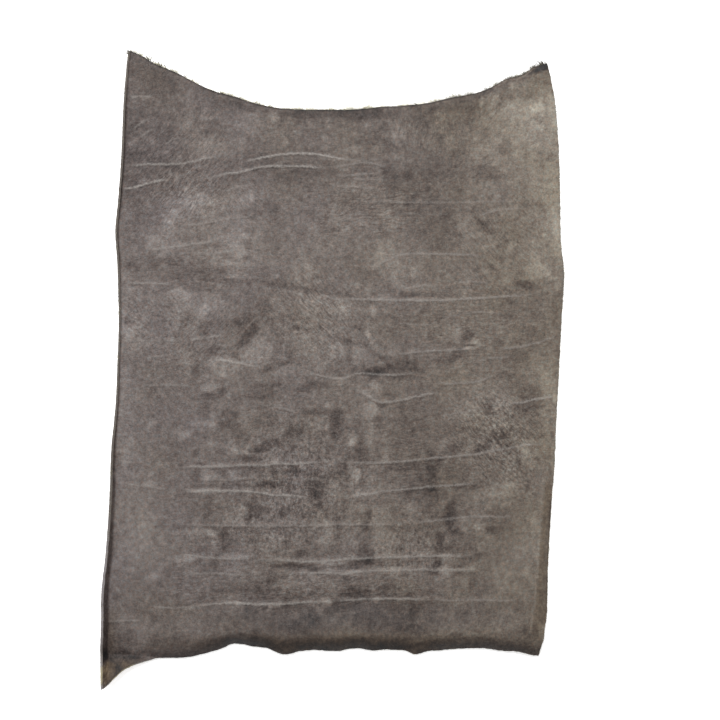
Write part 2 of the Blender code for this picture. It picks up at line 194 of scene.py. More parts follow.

# Stains and worn places, in the same columns. They were read a part of the hide at a time:
# first from the photo, and then, in the second reading, from the photo minus a render.
# A few rows, noted where they stand, paint shade and not a stain.
STAINS = (
    # Upper left
    (-128, 388, 38, 7, -14, -8), (-47, 375, 38, 7, 0, -9), (35, 376, 53, 9, 0, -8),
    (-121, 372, 21, 7, 0, 6), (-122, 354, 13, 12, 0, 5), (-153, 360, 9, 9, 0, 6),
    (-176, 370, 13, 3, 0, 9), (-199, 384, 7, 24, 0, -5), (-177, 384, 24, 18, -20, -5),
    (-173, 326, 50, 18, 0, 4), (-220, 357, 18, 18, 0, 4), (-250, 348, 24, 12, -20, -6),
    (-295, 381, 21, 18, 0, -4), (-298, 354, 15, 7, 0, -5), (-279, 314, 36, 7, 0, -7),
    (-103, 302, 59, 6, 6, -5), (-62, 283, 33, 12, 0, -6), (-131, 270, 19, 6, 0, 6),
    (-119, 255, 6, 10, 0, 8), (-239, 228, 18, 12, 30, 6), (-193, 228, 12, 9, 0, 7),
    (-121, 231, 21, 9, 0, -5), (-79, 233, 12, 7, 0, -5), (-213, 248, 21, 18, 0, 4),
    (-273, 400, 12, 3, 3, 8), (-85, 372, 13, 9, 20, 8), (-177, 357, 15, 15, 0, -6),
    (-103, 314, 18, 7, 10, -6), (-224, 307, 36, 15, 10, -5), (-254, 344, 21, 24, 50, 3),
    (-88, 237, 15, 10, -30, -9), (-195, 248, 27, 12, 15, 6), (-121, 254, 24, 10, 15, 8),
    (-242, 206, 15, 18, 60, 6), (-230, 181, 18, 9, 10, 7), (-144, 194, 21, 13, 30, 7),
    (-173, 174, 30, 7, 6, 5), (-269, 156, 38, 13, -4, -7), (-195, 141, 44, 15, -2, -7),
    (-141, 156, 30, 7, -6, 8), (-136, 137, 21, 7, -10, 6),
    # Upper middle and right
    (92, 354, 7, 21, 0, 8), (140, 378, 36, 15, 0, -7), (156, 369, 3, 19, -5, 8),
    (169, 370, 3, 15, -5, 6), (168, 360, 3, 9, 0, -8), (162, 341, 9, 7, 0, -8),
    (2, 370, 21, 4.4, 0, 6), (52, 357, 13, 10, 0, 5), (64, 333, 33, 7, 0, -8),
    (30, 322, 15, 6, 0, 6), (89, 277, 13, 30, 0, -8), (45, 271, 27, 9, 0, 5),
    (146, 211, 38, 27, 0, -5), (199, 215, 12, 30, 10, 5), (-32, 307, 38, 4.4, -4, -6),
    (-29, 292, 44, 7, 0, -7), (199, 381, 21, 24, 0, -7), (218, 390, 3, 13, 0, -10),
    (249, 413, 53, 9, 18, -5), (294, 407, 18, 10, 0, -6), (326, 390, 10, 21, -10, 6),
    (301, 384, 33, 9, 0, 5), (257, 325, 15, 13, 0, -6), (229, 289, 27, 13, -15, -10),
    (261, 268, 24, 24, 0, -5), (298, 243, 21, 7, 0, -6), (305, 291, 24, 3, 5, 5),
    (303, 273, 21, 3, -5, 5), (317, 262, 12, 4.4, 0, 6), (328, 240, 12, 59, 0, 6),
    (229, 208, 27, 3, -42, -14), (240, 208, 18, 3, -42, -10), (226, 322, 24, 12, 15, 5),
    # The first two rows on the next line paint shade at the upper right tip of the edge.
    (305, 441, 18, 5, 25, -30), (316, 446, 7, 6, 0, -36), (109, 285, 12, 10, 0, -8),
    (169, 230, 12, 13, 0, -8), (138, 357, 12, 9, 0, -7), (42, 240, 38, 12, -4, -4),
    (12, 211, 44, 15, 10, 3), (205, 277, 6, 50, 0, 4), (193, 225, 4.4, 36, 0, -4),
    (308, 259, 24, 27, 0, 4), (217, 209, 21, 15, -45, -3), (113, 110, 18, 6, -5, -10),
    (128, 119, 30, 7, 10, 7), (83, 165, 27, 12, 10, 8), (116, 151, 21, 18, 0, 5),
    # Middle
    (-158, 128, 44, 4.4, -4, -7), (-14, 113, 59, 3.7, -7, -7), (-141, 174, 16, 13, 0, 8),
    (-103, 171, 21, 18, 0, 4), (-298, 148, 18, 9, -10, -6), (-236, 159, 21, 12, 0, -5),
    (-158, 153, 18, 4.4, 0, 6), (-187, 119, 53, 7, -4, -6), (-82, 123, 38, 4.4, -9, -9),
    (-127, 100, 24, 18, 0, -5), (-213, 92, 21, 15, 0, 4), (-177, 100, 21, 15, 0, 5),
    (-298, 67, 12, 7, 0, -7), (-214, 69, 13, 7, 0, -7), (-171, 63, 24, 9, 0, -5),
    (-139, 63, 15, 7, -30, -8), (-121, 52, 27, 9, 55, -14), (-214, 8, 7, 21, 0, 5),
    (-150, 8, 36, 4.4, -8, 6), (-88, -3, 16, 3.7, 25, -12), (-72, 6, 9, 4.4, 20, -9),
    (-67, 33, 9, 18, 0, -4), (-59, 18, 9, 7, 0, -7), (-267, -31, 6, 13, 0, -6),
    (-176, -31, 21, 7, 0, 6), (-186, -42, 10, 6, 0, -10), (-84, -23, 10, 6, 0, -7),
    (83, 177, 18, 18, 0, 6), (89, 144, 24, 18, 0, 6), (-14, 174, 18, 6, -45, 6),
    (27, 174, 10, 21, -20, -5), (168, 188, 27, 21, 0, -4), (160, 108, 65, 4.4, 1, -8),
    (110, 108, 15, 6, -5, -9), (196, 114, 21, 4.4, 0, 6), (5, 114, 30, 9, -10, -4),
    (9, 100, 33, 6, -42, 7), (18, 88, 6, 7, 0, 12), (-13, 82, 6, 10, 0, -6),
    (89, 71, 18, 6, 0, -5), (15, 42, 18, 6, -15, -8), (26, 26, 7, 18, 0, -9),
    (-17, 21, 27, 15, 0, 5), (51, 34, 6, 10, 0, -7), (83, 24, 27, 6, -5, 6),
    (78, 15, 9, 6, -20, -9), (63, -5, 18, 7, 0, -8), (119, -4, 24, 7, 0, -8),
    (141, 63, 3, 18, 5, 6), (190, 58, 15, 13, 0, 6), (202, 34, 12, 3, 10, -12),
    (211, 40, 9, 3, 10, 10), (205, 29, 18, 2.2, 8, 12), (131, -31, 33, 9, 0, -5),
    (214, -34, 15, 15, 0, 6), (303, 145, 21, 13, 0, 8), (320, 141, 4.4, 4.4, 0, 12),
    (323, 156, 12, 6, 0, -4), (289, 123, 16, 7, -15, -16), (261, 131, 9, 4.4, -40, 8),
    (249, 114, 24, 9, 0, -7), (264, 88, 18, 18, 0, -5), (298, 49, 21, 18, 0, -6),
    (187, 79, 27, 2.2, 10, -10), (162, 73, 9, 2.2, 40, -8), (255, 67, 7, 2.2, -45, -10),
    (245, 37, 12, 7, 0, -6), (171, 14, 21, 6, 5, -7), (322, -26, 13, 24, 0, 7),
    (286, -59, 24, 9, 0, -8), (-301, 55, 18, 15, 0, 8), (-306, 82, 13, 13, 0, 5),
    (-221, 111, 24, 12, 10, 9), (-190, 85, 15, 10, 50, 12), (-130, 73, 18, 10, 20, -13),
    (-100, 91, 13, 15, -20, -9), (-133, 30, 12, 12, -30, -10), (-113, 26, 27, 24, 0, 11),
    (-159, 2, 30, 18, -10, 10), (-177, 27, 15, 9, 0, -9), (-201, -4, 7, 21, -10, -8),
    (-168, -38, 24, 9, 20, -11), (-103, -35, 27, 15, 0, -9), (-29, -28, 30, 9, 8, -11),
    (-38, 147, 27, 18, 0, 6), (-25, 91, 38, 21, -35, 6), (17, 85, 18, 12, -40, 9),
    (-41, 40, 15, 13, 0, 7), (8, 33, 21, 18, 0, 6), (27, 23, 33, 15, -30, 4),
    (61, 85, 7, 12, 10, 12), (52, 49, 6, 7, 0, 14), (45, 23, 21, 12, 0, 7),
    (89, 0, 44, 10, 10, -10), (61, -8, 18, 10, 10, -9), (131, 5, 24, 9, -10, -4),
    (113, -14, 36, 4.4, 0, -9), (66, 20, 15, 7, -25, -8), (184, 20, 15, 9, 50, -11),
    (175, 52, 18, 15, 0, 6), (208, 33, 18, 7, 10, 10), (199, 51, 12, 13, 50, -9),
    (273, 18, 21, 13, 0, -8), (294, -37, 24, 13, 10, -10), (258, -13, 12, 10, 0, -6),
    (308, -7, 21, 27, 0, 4), (57, -31, 24, 12, 0, 7), (58, -62, 18, 15, 0, 9),
    (89, -42, 15, 6, -10, -9), (106, -57, 7, 12, 0, -9), (76, -54, 9, 6, 0, -8),
    # Mottled centre
    (-187, -82, 18, 6, 0, 8), (-215, -97, 13, 7, 30, 7), (-232, -122, 13, 18, 0, -6),
    (-146, -121, 13, 13, 20, 7), (-180, -116, 18, 9, 0, 4), (-124, -127, 13, 4.4, 0, 9),
    (-189, -60, 12, 15, 0, -6), (-121, -99, 12, 7, -30, 7), (-159, -156, 16, 4.4, -40, -9),
    (-144, -158, 15, 6, -40, 8), (-187, -182, 36, 4.4, 0, 10), (-116, -211, 16, 18, 0, -11),
    (-156, -256, 10, 24, 0, -12), (-195, -242, 30, 7, -8, 6), (-112, -250, 12, 12, 0, -6),
    (-304, -170, 18, 4.4, -8, 5), (-269, -174, 13, 4.4, 0, 7), (-269, -81, 15, 4.4, 0, 6),
    (20, -85, 9, 21, 0, 6), (30, -108, 9, 12, -30, 8), (57, -105, 9, 33, 0, 5),
    (83, -127, 13, 13, 0, 5), (18, -145, 9, 12, 0, -8), (-22, -188, 10, 21, 5, -13),
    (2, -182, 15, 18, 0, 8), (39, -189, 33, 4.4, 4, 8), (-41, -180, 12, 9, 0, 5),
    (52, -226, 7, 21, -14, -12), (75, -220, 18, 21, 0, 6), (9, -235, 7, 21, 0, -9),
    (-5, -235, 13, 15, 0, 8), (116, -236, 44, 6, 0, -5), (104, -264, 7, 10, 0, -9),
    (112, -214, 10, 15, 0, 5), (138, -185, 33, 24, 0, -6), (157, -256, 12, 18, 0, -6),
    (193, -263, 36, 13, 0, -6), (9, -156, 18, 4.4, 0, -9), (184, -116, 21, 6, 30, -5),
    (165, -136, 7, 6, 0, -9), (183, -152, 27, 18, 0, -6), (149, -165, 13, 6, 0, -9),
    (149, -183, 12, 9, 0, -6), (202, -177, 27, 6, 5, -10), (285, -174, 10, 7, 0, -8),
    (254, -196, 21, 7, 0, 6), (261, -210, 21, 4.4, 0, -6), (183, -247, 13, 10, 0, -6),
    (172, -269, 18, 9, 0, -8), (-147, -294, 27, 9, 0, 5), (-103, -322, 15, 18, 0, -7),
    (-91, -310, 15, 10, 0, -8), (-62, -319, 18, 12, 0, 7), (-42, -322, 13, 15, 0, 6),
    (-141, -347, 18, 3.7, 0, 12), (-88, -350, 21, 4.4, 0, 12), (-213, -362, 33, 13, 0, 5),
    (-284, -407, 15, 15, 0, 5), (-112, -392, 7, 12, 0, -8), (-313, -404, 24, 12, 0, -6),
    (30, -291, 38, 6, 5, -9), (58, -282, 12, 7, -30, -8), (-2, -321, 27, 10, 0, 4),
    (49, -337, 50, 4.4, 0, -8), (36, -327, 24, 12, 0, -4), (67, -341, 9, 3, 0, 13),
    (104, -341, 12, 3, 0, 13), (-8, -343, 10, 6, 0, 12), (-17, -352, 18, 10, 20, 6),
    (63, -374, 9, 33, 0, -4), (131, -370, 10, 12, 0, 5), (171, -374, 15, 33, 0, 5),
    (-65, -384, 33, 12, 0, -8), (143, -333, 18, 7, 0, -8), (196, -299, 24, 3.7, 0, 10),
    (202, -281, 21, 4.4, 12, -6), (227, -270, 12, 12, 30, -5), (217, -324, 18, 21, 0, -7),
    (279, -352, 10, 12, 0, -5), (217, -355, 33, 12, 0, -4), (294, -383, 18, 18, 0, -6),
    (-149, -69, 18, 10, -10, -9), (-152, -84, 18, 9, 0, -12), (-155, -69, 6, 4.4, 0, 8),
    (-94, -77, 15, 12, 0, -8), (-57, -94, 18, 10, 20, -13), (-127, -100, 15, 9, 0, -8),
    (-94, -114, 24, 9, 25, -14), (-115, -124, 13, 7, 10, -11), (-14, -65, 38, 7, 0, -10),
    (9, -84, 13, 30, 0, -15), (-17, -81, 24, 10, -10, 6), (-38, -119, 21, 13, 20, 5),
    (-121, -134, 12, 6, 0, -12), (-97, -137, 12, 6, 0, 5), (-201, -158, 10, 13, 0, -9),
    (-183, -159, 15, 9, 0, 10), (-118, -151, 18, 6, 0, -9), (-57, -152, 19, 9, 0, -14),
    (-84, -173, 38, 6, -3, -9), (-82, -130, 13, 12, 0, 7), (-25, -173, 18, 24, 10, -12),
    (38, -158, 7, 12, 0, 11), (39, -127, 21, 15, 0, -11), (51, -186, 24, 6, 5, 9),
    (150, -140, 15, 24, 0, -12), (104, -146, 33, 10, 5, -6), (178, -122, 21, 9, 25, -9),
    (223, -118, 15, 7, 25, -9), (113, -182, 7, 10, 30, -7), (152, -177, 13, 6, 0, -8),
    (261, -179, 30, 15, 10, 9), (231, -188, 24, 7, 10, 6), (-183, -208, 7, 21, 0, -9),
    (-69, -213, 12, 9, 30, -11), (-143, -216, 21, 15, 0, 7), (-215, -281, 21, 7, 0, 12),
    (-144, -279, 24, 7, 0, 9), (-88, -251, 21, 13, -30, 7), (-66, -262, 9, 9, 0, -8),
    (-48, -276, 12, 7, 20, -11), (-36, -257, 10, 4.4, 45, -6), (-235, -236, 30, 6, 0, -4),
    (-62, -294, 24, 6, 0, -14), (-28, -297, 15, 6, 0, -15), (-177, -294, 18, 10, 0, -5),
    (-30, -310, 12, 7, 0, 7), (175, -219, 10, 27, -5, -15), (162, -253, 6, 15, -20, -10),
    (186, -242, 12, 7, -15, -10), (239, -239, 16, 7, 10, -10), (49, -273, 15, 18, 25, -13),
    (54, -285, 15, 6, 0, -9), (156, -287, 9, 13, -20, -15), (27, -259, 18, 21, 0, 4),
    (79, -256, 21, 27, 0, 8), (116, -273, 36, 12, 0, 5), (168, -279, 12, 9, 0, 11),
    (166, -299, 12, 9, 0, 11), (94, -299, 30, 6, 0, 9), (4, -287, 24, 6, 6, 8),
    (33, -301, 18, 6, 5, 10), (107, -301, 4.4, 10, 0, -8), (152, -304, 10, 6, 0, -9),
    (199, -304, 15, 6, 0, -6), (83, -327, 21, 9, 0, -10), (39, -330, 30, 10, 0, -9),
    (107, -336, 18, 6, 0, -7), (194, -233, 15, 10, 0, 6), (220, -235, 12, 10, 0, 6),
    (-139, -328, 38, 4.4, 0, -7), (-70, -340, 18, 4.4, 0, -7), (17, -350, 30, 9, 18, -8),
    (-29, -368, 13, 15, 0, -8), (-118, -364, 12, 15, 0, -8), (116, -387, 33, 9, 0, -8),
    (294, -392, 15, 15, 0, -7), (-307, -392, 21, 13, 0, -6), (-260, -309, 15, 6, 0, 6),
    (126, -353, 13, 9, 0, -6),
    # Right pebbled patch
    (202, -57, 21, 12, 0, 7), (193, -72, 30, 6, 10, 6), (257, -79, 24, 10, -20, 8),
    (294, -56, 27, 10, 5, -6), (249, -99, 24, 6, 0, -10), (183, -87, 24, 12, 0, -5),
    (266, -111, 10, 6, 0, -8), (279, -125, 12, 21, -10, 7), (242, -122, 18, 9, 0, 6),
    (233, -59, 10, 10, -40, -10), (217, -96, 21, 9, -10, -6), (267, -78, 15, 9, -20, -6),
    (245, -53, 15, 6, 20, 9), (252, -108, 18, 7, 0, -7), (294, -118, 21, 12, -50, 6),
    # Second reading: centre
    (-51, -81, 6, 4.4, 0, -15), (-42, -57, 6, 4.4, 20, -10), (-103, -59, 9, 3.7, 0, -8),
    (-32, -75, 5, 4.4, 0, -13), (-144, -69, 6, 6, 0, -10), (-136, -102, 7, 4.4, -25, -12),
    (-72, -118, 7, 4.4, 30, -11), (-51, -102, 6, 12, 0, -9), (-11, -97, 6, 7, 0, -13),
    (-7, -112, 5, 7, 20, -9), (21, -90, 12, 5, 72, -12), (-103, -133, 6, 5, 0, -15),
    (-125, -136, 27, 3, 0, -11), (-72, -133, 7, 3.7, 0, -10), (-20, -131, 9, 4.4, 0, -8),
    (-26, -148, 6, 4.4, 0, -9), (7, -146, 12, 3, 0, -9), (-4, -161, 10, 5, 0, -13),
    (-10, -171, 7, 3, 0, -9), (23, -159, 5, 6, 0, -9), (-81, -158, 4.4, 9, 0, -11),
    (-41, -159, 6, 6, 0, -9), (-128, -174, 13, 5, 0, -13), (-149, -176, 5, 5, 0, -14),
    (-102, -174, 9, 6, 30, -15), (-54, -185, 16, 3, -5, -11), (-54, -201, 7, 4.4, 0, -12),
    (-14, -201, 6, 6, 0, -13), (-115, -202, 6, 3.7, 0, -8), (-136, -75, 9, 9, 0, 9),
    (-144, -124, 6, 9, 0, 13), (-122, -128, 12, 3.3, -15, 14), (-112, -108, 7, 6, 0, 9),
    (-85, -103, 13, 3, 8, 8), (-51, -137, 7, 5, 0, 8), (-41, -146, 6, 7, 0, 7),
    (-8, -140, 7, 6, 0, 12), (-122, -162, 10, 3.8, 0, 10), (-149, -159, 4.4, 9, 0, 11),
    (-50, -159, 5, 6, 0, 11), (-67, -156, 4.4, 12, 0, 7), (-94, -188, 9, 3.8, -10, 12),
    (-70, -192, 13, 3, -8, 9), (-91, -202, 9, 7, 0, 11), (-7, -87, 6, 7, -50, 8),
    (-30, -88, 6, 4.4, 0, 9), (-8, -54, 6, 4.4, 0, 8), (-25, -179, 5, 10, 0, 8),
    (15, -119, 4.4, 6, 0, 8), (78, -54, 7, 3.7, 0, -7), (73, -74, 7, 6, 0, -10),
    (70, -87, 6, 4.4, 0, -10), (36, -87, 6, 4.4, 0, -10), (46, -109, 7, 5, 0, -12),
    (63, -109, 7, 3.7, -20, -9), (48, -136, 9, 3.7, 10, -12), (45, -142, 4.4, 5, 0, -10),
    (98, -112, 6, 4.4, 0, -8), (123, -97, 6, 7, -30, -13), (115, -114, 6, 6, 0, -9),
    (140, -112, 6, 3, 0, -7), (128, -130, 6, 5, 0, -12), (138, -85, 12, 3, 0, -6),
    (171, -100, 7, 4.4, 0, -9), (187, -111, 3.7, 7, 0, -10), (165, -133, 5, 6, 0, -14),
    (157, -148, 4.4, 7, 0, -9), (135, -162, 4.4, 4.4, 0, -9), (192, -188, 7, 4.4, 0, -11),
    (183, -201, 5, 3.7, 0, -10), (95, -207, 12, 4.4, 0, -7), (63, -59, 7, 9, 0, 8),
    (58, -90, 13, 4.4, 75, 12), (48, -74, 4.4, 4.4, 0, 8), (91, -68, 5, 4.4, 0, 11),
    (33, -108, 12, 5, 80, 11), (86, -87, 7, 6, 20, 9), (79, -99, 10, 6, 30, 8),
    (38, -158, 8, 8, 0, 16), (33, -173, 6, 7, 0, 17), (78, -134, 7, 9, 0, 12),
    (64, -164, 6, 10, 0, 10), (54, -201, 4.4, 4.4, 0, 10), (41, -205, 9, 7, 0, 11),
    (122, -202, 10, 9, 0, 11), (146, -74, 9, 6, 0, 6), (172, -72, 7, 4.4, 0, 9),
    (175, -82, 7, 4.4, 0, 9), (199, -84, 6, 5, 0, 11), (168, -111, 6, 6, 0, 8),
    (169, -156, 4.4, 6, 0, 8), (166, -201, 4.4, 10, 0, 9), (-76, -220, 5, 5, 0, -14),
    (-38, -220, 7, 4.4, 0, -12), (7, -222, 7, 4.4, 0, -15), (-106, -222, 7, 4.4, 0, -6),
    (-125, -222, 4.4, 6, 0, -7), (-28, -242, 7, 4.4, 0, -7), (9, -251, 7, 5, 20, -13),
    (-112, -278, 6, 7, 0, -13), (-41, -275, 10, 6, 0, -12), (-39, -264, 4.4, 4.4, 0, -10),
    (-82, -294, 12, 3.3, -5, -11), (-69, -306, 6, 5, -40, -11), (-25, -299, 6, 3.7, 0, -16),
    (-47, -296, 12, 3, 0, -8), (21, -296, 7, 2.7, 0, -11), (-33, -310, 7, 3, 0, -9),
    (20, -310, 7, 4.4, 0, -9), (-97, -315, 4.4, 7, 0, -10), (-91, -330, 9, 5, 0, -11),
    (-62, -330, 6, 6, 0, -12), (-69, -340, 7, 3, 0, -8), (-38, -340, 6, 4.4, 0, -9),
    (18, -338, 6, 3.7, 0, -13), (-125, -356, 7, 7, 0, -14), (-97, -344, 5, 10, 10, -9),
    (-147, -347, 4.4, 3, 0, -8), (-125, -346, 7, 4.4, 0, -9), (-69, -364, 7, 6, 0, -9),
    (-104, -251, 5, 3.3, -50, 15), (-10, -254, 10, 8, 0, 20), (-85, -267, 9, 3.8, 55, 12),
    (-51, -262, 6, 9, 0, 8), (-20, -232, 7, 6, 0, 6), (18, -233, 5, 7, 0, 9),
    (-93, -287, 10, 3.6, 0, 11), (-70, -290, 9, 3, 0, 8), (-32, -288, 15, 3, 0, 12),
    (-5, -290, 12, 3.6, 0, 14), (20, -287, 10, 3, 5, 12), (-137, -349, 7, 3.6, -30, 9),
    (-72, -322, 7, 5, 35, 10), (-33, -324, 7, 4.4, 20, 11), (-14, -327, 10, 6, 60, 8),
    (-28, -349, 7, 4.4, 0, 12), (-10, -347, 10, 4.4, 0, 12), (-14, -362, 9, 6, 0, 6),
    (-116, -313, 7, 4.4, -35, 9), (-139, -299, 7, 6, 50, 7), (-91, -350, 4.4, 4.4, 0, 9),
    (109, -217, 6, 7, 0, -10), (155, -222, 18, 3.3, 0, -13), (172, -219, 4.4, 4.4, 0, -11),
    (183, -230, 4.4, 6, 0, -9), (51, -229, 4.4, 4.4, 0, -10), (46, -245, 6, 4.4, 0, -8),
    (39, -251, 4.4, 6, 0, -10), (101, -267, 7, 4.4, 0, -9), (95, -242, 4.4, 10, 15, -6),
    (128, -267, 7, 4.4, 0, -7), (163, -270, 6, 6, 0, -9), (63, -279, 3.8, 7, 35, -14),
    (72, -290, 4.4, 9, 10, -10), (113, -290, 7, 5, 15, -15), (83, -291, 6, 3.7, 0, -8),
    (156, -291, 6, 7, 0, -17), (187, -293, 10, 3.7, 0, -8), (38, -293, 12, 3.6, 0, -12),
    (51, -299, 4.4, 5, 0, -13), (36, -310, 13, 3.8, 10, -16), (72, -309, 5, 7, 0, -10),
    (83, -327, 9, 3, 0, -6), (51, -338, 12, 3.3, 0, -12), (81, -338, 7, 3.8, 0, -13),
    (116, -337, 12, 3.6, 0, -14), (157, -334, 7, 6, 0, -7), (63, -353, 9, 6, 0, -7),
    (35, -355, 7, 6, 0, -7), (35, -365, 6, 6, 0, -9), (156, -359, 10, 6, 0, -7),
    (30, -260, 7, 7, 0, 12), (120, -216, 4.4, 7, 0, 11), (110, -245, 7, 5, 15, 12),
    (118, -260, 12, 5, 10, 12), (162, -241, 5, 5, 0, 13), (152, -257, 6, 7, 0, 8),
    (83, -281, 7, 3.6, 0, 12), (168, -279, 9, 4.4, 0, 8), (168, -303, 6, 9, 40, 12),
    (146, -285, 4.4, 6, 0, 8), (97, -299, 6, 7, 0, 8), (113, -299, 6, 6, 0, 7),
    (35, -322, 7, 6, 0, 12), (81, -319, 7, 4.4, 0, 10), (67, -341, 5, 6, 0, 15),
    (103, -344, 9, 3, 0, 7), (141, -341, 9, 3.8, 10, 13), (183, -347, 7, 6, 0, 8),
    (197, -222, 7, 3.8, 0, 11), (193, -238, 7, 4.4, 20, 8), (61, -225, 9, 6, 0, 8),
    (135, -365, 6, 6, 0, 6),
    # Second reading: left of the centre
    (-312, -59, 4.4, 7, 0, 8), (-272, -84, 12, 5, 35, 9), (-250, -88, 4.4, 4.4, 0, 7),
    (-217, -97, 7, 7, 0, 9), (-195, -82, 9, 3.6, 0, 8), (-174, -87, 9, 6, 0, 8),
    (-177, -69, 6, 9, 0, 8), (-176, -112, 7, 7, 0, 13), (-307, -142, 7, 7, 0, 6),
    (-275, -143, 9, 4.4, 0, 5), (-266, -158, 7, 3.8, 0, 6), (-181, -162, 12, 7, 20, 8),
    (-155, -158, 7, 5, -50, 16), (-183, -185, 18, 2.7, 0, 11), (-183, -199, 12, 4.4, 0, 7),
    (-250, -202, 6, 7, 0, 7), (-159, -118, 7, 6, 0, 6), (-295, -90, 9, 4.4, -25, -10),
    (-230, -85, 6, 6, 0, -8), (-201, -97, 7, 7, 0, -11), (-167, -88, 6, 12, 0, -10),
    (-238, -116, 7, 4.4, 0, -10), (-215, -112, 9, 7, 0, -7), (-201, -128, 7, 6, 0, -8),
    (-193, -142, 12, 3.6, 0, -16), (-220, -142, 12, 3.6, 0, -11), (-202, -159, 6, 9, 0, -8),
    (-201, -177, 12, 4.4, 0, -13), (-176, -177, 12, 3, 0, -8), (-159, -174, 6, 7, -20, -16),
    (-152, -179, 4.4, 4.4, 0, -14), (-156, -109, 6, 4.4, 0, -8), (-292, -177, 6, 7, 0, -5),
    (-207, -193, 7, 4.4, 0, -6), (-186, -219, 5, 6, 0, -17), (-204, -236, 6, 5, 0, -13),
    (-177, -235, 10, 4.4, -20, -14), (-162, -251, 5, 9, 20, -14), (-195, -269, 10, 6, 0, -9),
    (-201, -290, 7, 6, 0, -13), (-171, -287, 7, 9, 0, -9), (-300, -245, 5, 4.4, 0, -8),
    (-306, -230, 7, 6, 0, -6), (-247, -310, 7, 4.4, 0, -9), (-254, -321, 9, 6, 0, -7),
    (-287, -310, 12, 4.4, 0, -5), (-316, -341, 10, 7, 0, -6), (-162, -368, 7, 7, 0, -11),
    (-195, -336, 4.4, 6, 0, -9), (-176, -328, 7, 4.4, 0, -6), (-226, -242, 6, 4.4, 0, 12),
    (-208, -245, 7, 3.6, 0, 12), (-251, -248, 7, 6, 0, 8), (-178, -247, 10, 5, -30, 13),
    (-174, -260, 7, 4.4, 0, 9), (-224, -287, 5, 6, 0, 14), (-210, -279, 12, 3.8, 0, 9),
    (-158, -282, 7, 3, 0, 9), (-263, -306, 7, 7, 0, 11), (-292, -301, 12, 4.4, 0, 7),
    (-252, -356, 10, 4.4, 5, 10), (-214, -331, 7, 4.4, 0, 10), (-201, -350, 9, 4.4, 0, 9),
    (-171, -322, 7, 6, 0, 6),
    # Second reading: upper left
    (-288, 360, 10, 6, 20, -11), (-282, 347, 7, 3.7, 0, -8), (-270, 304, 9, 4.4, -10, -15),
    (-289, 301, 6, 3, 0, -9), (-294, 271, 9, 6, -30, -12), (-301, 280, 6, 4.4, 0, -9),
    (-267, 280, 7, 3, 0, -6), (-254, 282, 6, 4.4, 0, -7), (-198, 339, 5, 7, 40, -16),
    (-224, 367, 4.4, 4.4, 0, -10), (-199, 362, 7, 6, 0, -9), (-164, 302, 6, 6, 0, -10),
    (-153, 360, 6, 6, 0, -9), (-143, 333, 6, 4.4, 0, -11), (-162, 338, 6, 6, 0, -6),
    (-158, 289, 12, 3, 5, -11), (-164, 258, 9, 4.4, 0, -13), (-177, 258, 6, 4.4, 0, -7),
    (-230, 240, 10, 3, 15, -12), (-264, 227, 10, 4.4, 10, -7), (-198, 225, 6, 4.4, 0, -8),
    (-210, 308, 7, 4.4, 20, -7), (-236, 304, 7, 3.7, 0, -7), (-213, 283, 6, 4.4, 0, -8),
    (-183, 271, 4.4, 6, 0, -7), (-153, 273, 6, 6, 0, -7), (-294, 390, 9, 7, 0, 10),
    (-247, 387, 18, 9, 0, 5), (-176, 370, 6, 4.4, 0, 8), (-260, 317, 13, 4.4, 10, 11),
    (-248, 322, 5, 4.4, 40, 11), (-287, 338, 7, 4.4, 20, 11), (-269, 344, 7, 3.8, 35, 9),
    (-297, 333, 6, 7, 0, 9), (-235, 283, 7, 8, 0, 14), (-229, 311, 7, 4.4, 45, 9),
    (-181, 282, 7, 3.6, 10, 11), (-152, 299, 7, 4.4, 0, 8), (-289, 289, 7, 4.4, 0, 8),
    (-270, 242, 7, 6, 0, 11), (-221, 248, 7, 4.4, 0, 8), (-199, 251, 6, 7, 0, 8),
    (-215, 265, 4.4, 4.4, 0, 8), (-131, 336, 7, 5, 55, 14), (-134, 359, 7, 6, 0, 8),
    # Second reading: upper middle
    (-110, 312, 12, 3, 5, -15), (-113, 296, 10, 3.6, 0, -14), (-82, 298, 12, 4.4, 0, -12),
    (-62, 302, 7, 4.4, 0, -12), (-41, 298, 9, 3, 0, -11), (-26, 316, 10, 6, 0, -9),
    (-19, 308, 6, 4.4, 0, -9), (-99, 246, 6, 6, 0, -13), (-48, 252, 4.4, 9, 15, -15),
    (-22, 259, 4.4, 6, 0, -8), (29, 254, 4.4, 6, 0, -12), (67, 246, 6, 4.4, 0, -11),
    (-4, 282, 10, 3.6, -20, -8), (17, 289, 7, 6, -30, -6), (-26, 228, 9, 7, 0, -9),
    (-100, 227, 7, 3, 0, -7), (-42, 369, 9, 7, 0, -6), (45, 353, 7, 4.4, 0, -8),
    (32, 314, 6, 6, 0, -7), (-99, 326, 7, 4.4, 0, -8), (-110, 378, 6, 6, 0, 11),
    (-67, 332, 6, 6, 0, 8), (7, 311, 7, 4.4, 0, 9), (-5, 296, 13, 3.8, 0, 7),
    (-85, 369, 3.7, 6, 0, 8), (-10, 341, 6, 6, 0, 7), (69, 265, 4.4, 7, 0, 7),
    (78, 357, 13, 6, 0, -12), (126, 359, 10, 6, 0, -12), (137, 350, 6, 4.4, 0, -8),
    (155, 359, 4.4, 7, 0, -13), (181, 359, 4.4, 7, 0, -13), (230, 354, 4.4, 4.4, 0, -14),
    (94, 329, 9, 4.4, -15, -11), (123, 323, 6, 6, 0, -8), (162, 336, 10, 4.4, 0, -7),
    (194, 333, 7, 6, 0, -9), (156, 307, 7, 3, 0, -11), (163, 291, 7, 4.4, 0, -10),
    (184, 289, 7, 4.4, 0, -8), (209, 283, 9, 4.4, 0, -13), (95, 286, 7, 6, 0, -10),
    (230, 299, 7, 4.4, 0, -11), (76, 292, 4.4, 7, 0, -11), (140, 268, 7, 6, 0, -13),
    (119, 267, 7, 6, 0, -8), (85, 254, 6, 4.4, 0, -12), (116, 251, 15, 4.4, 0, -7),
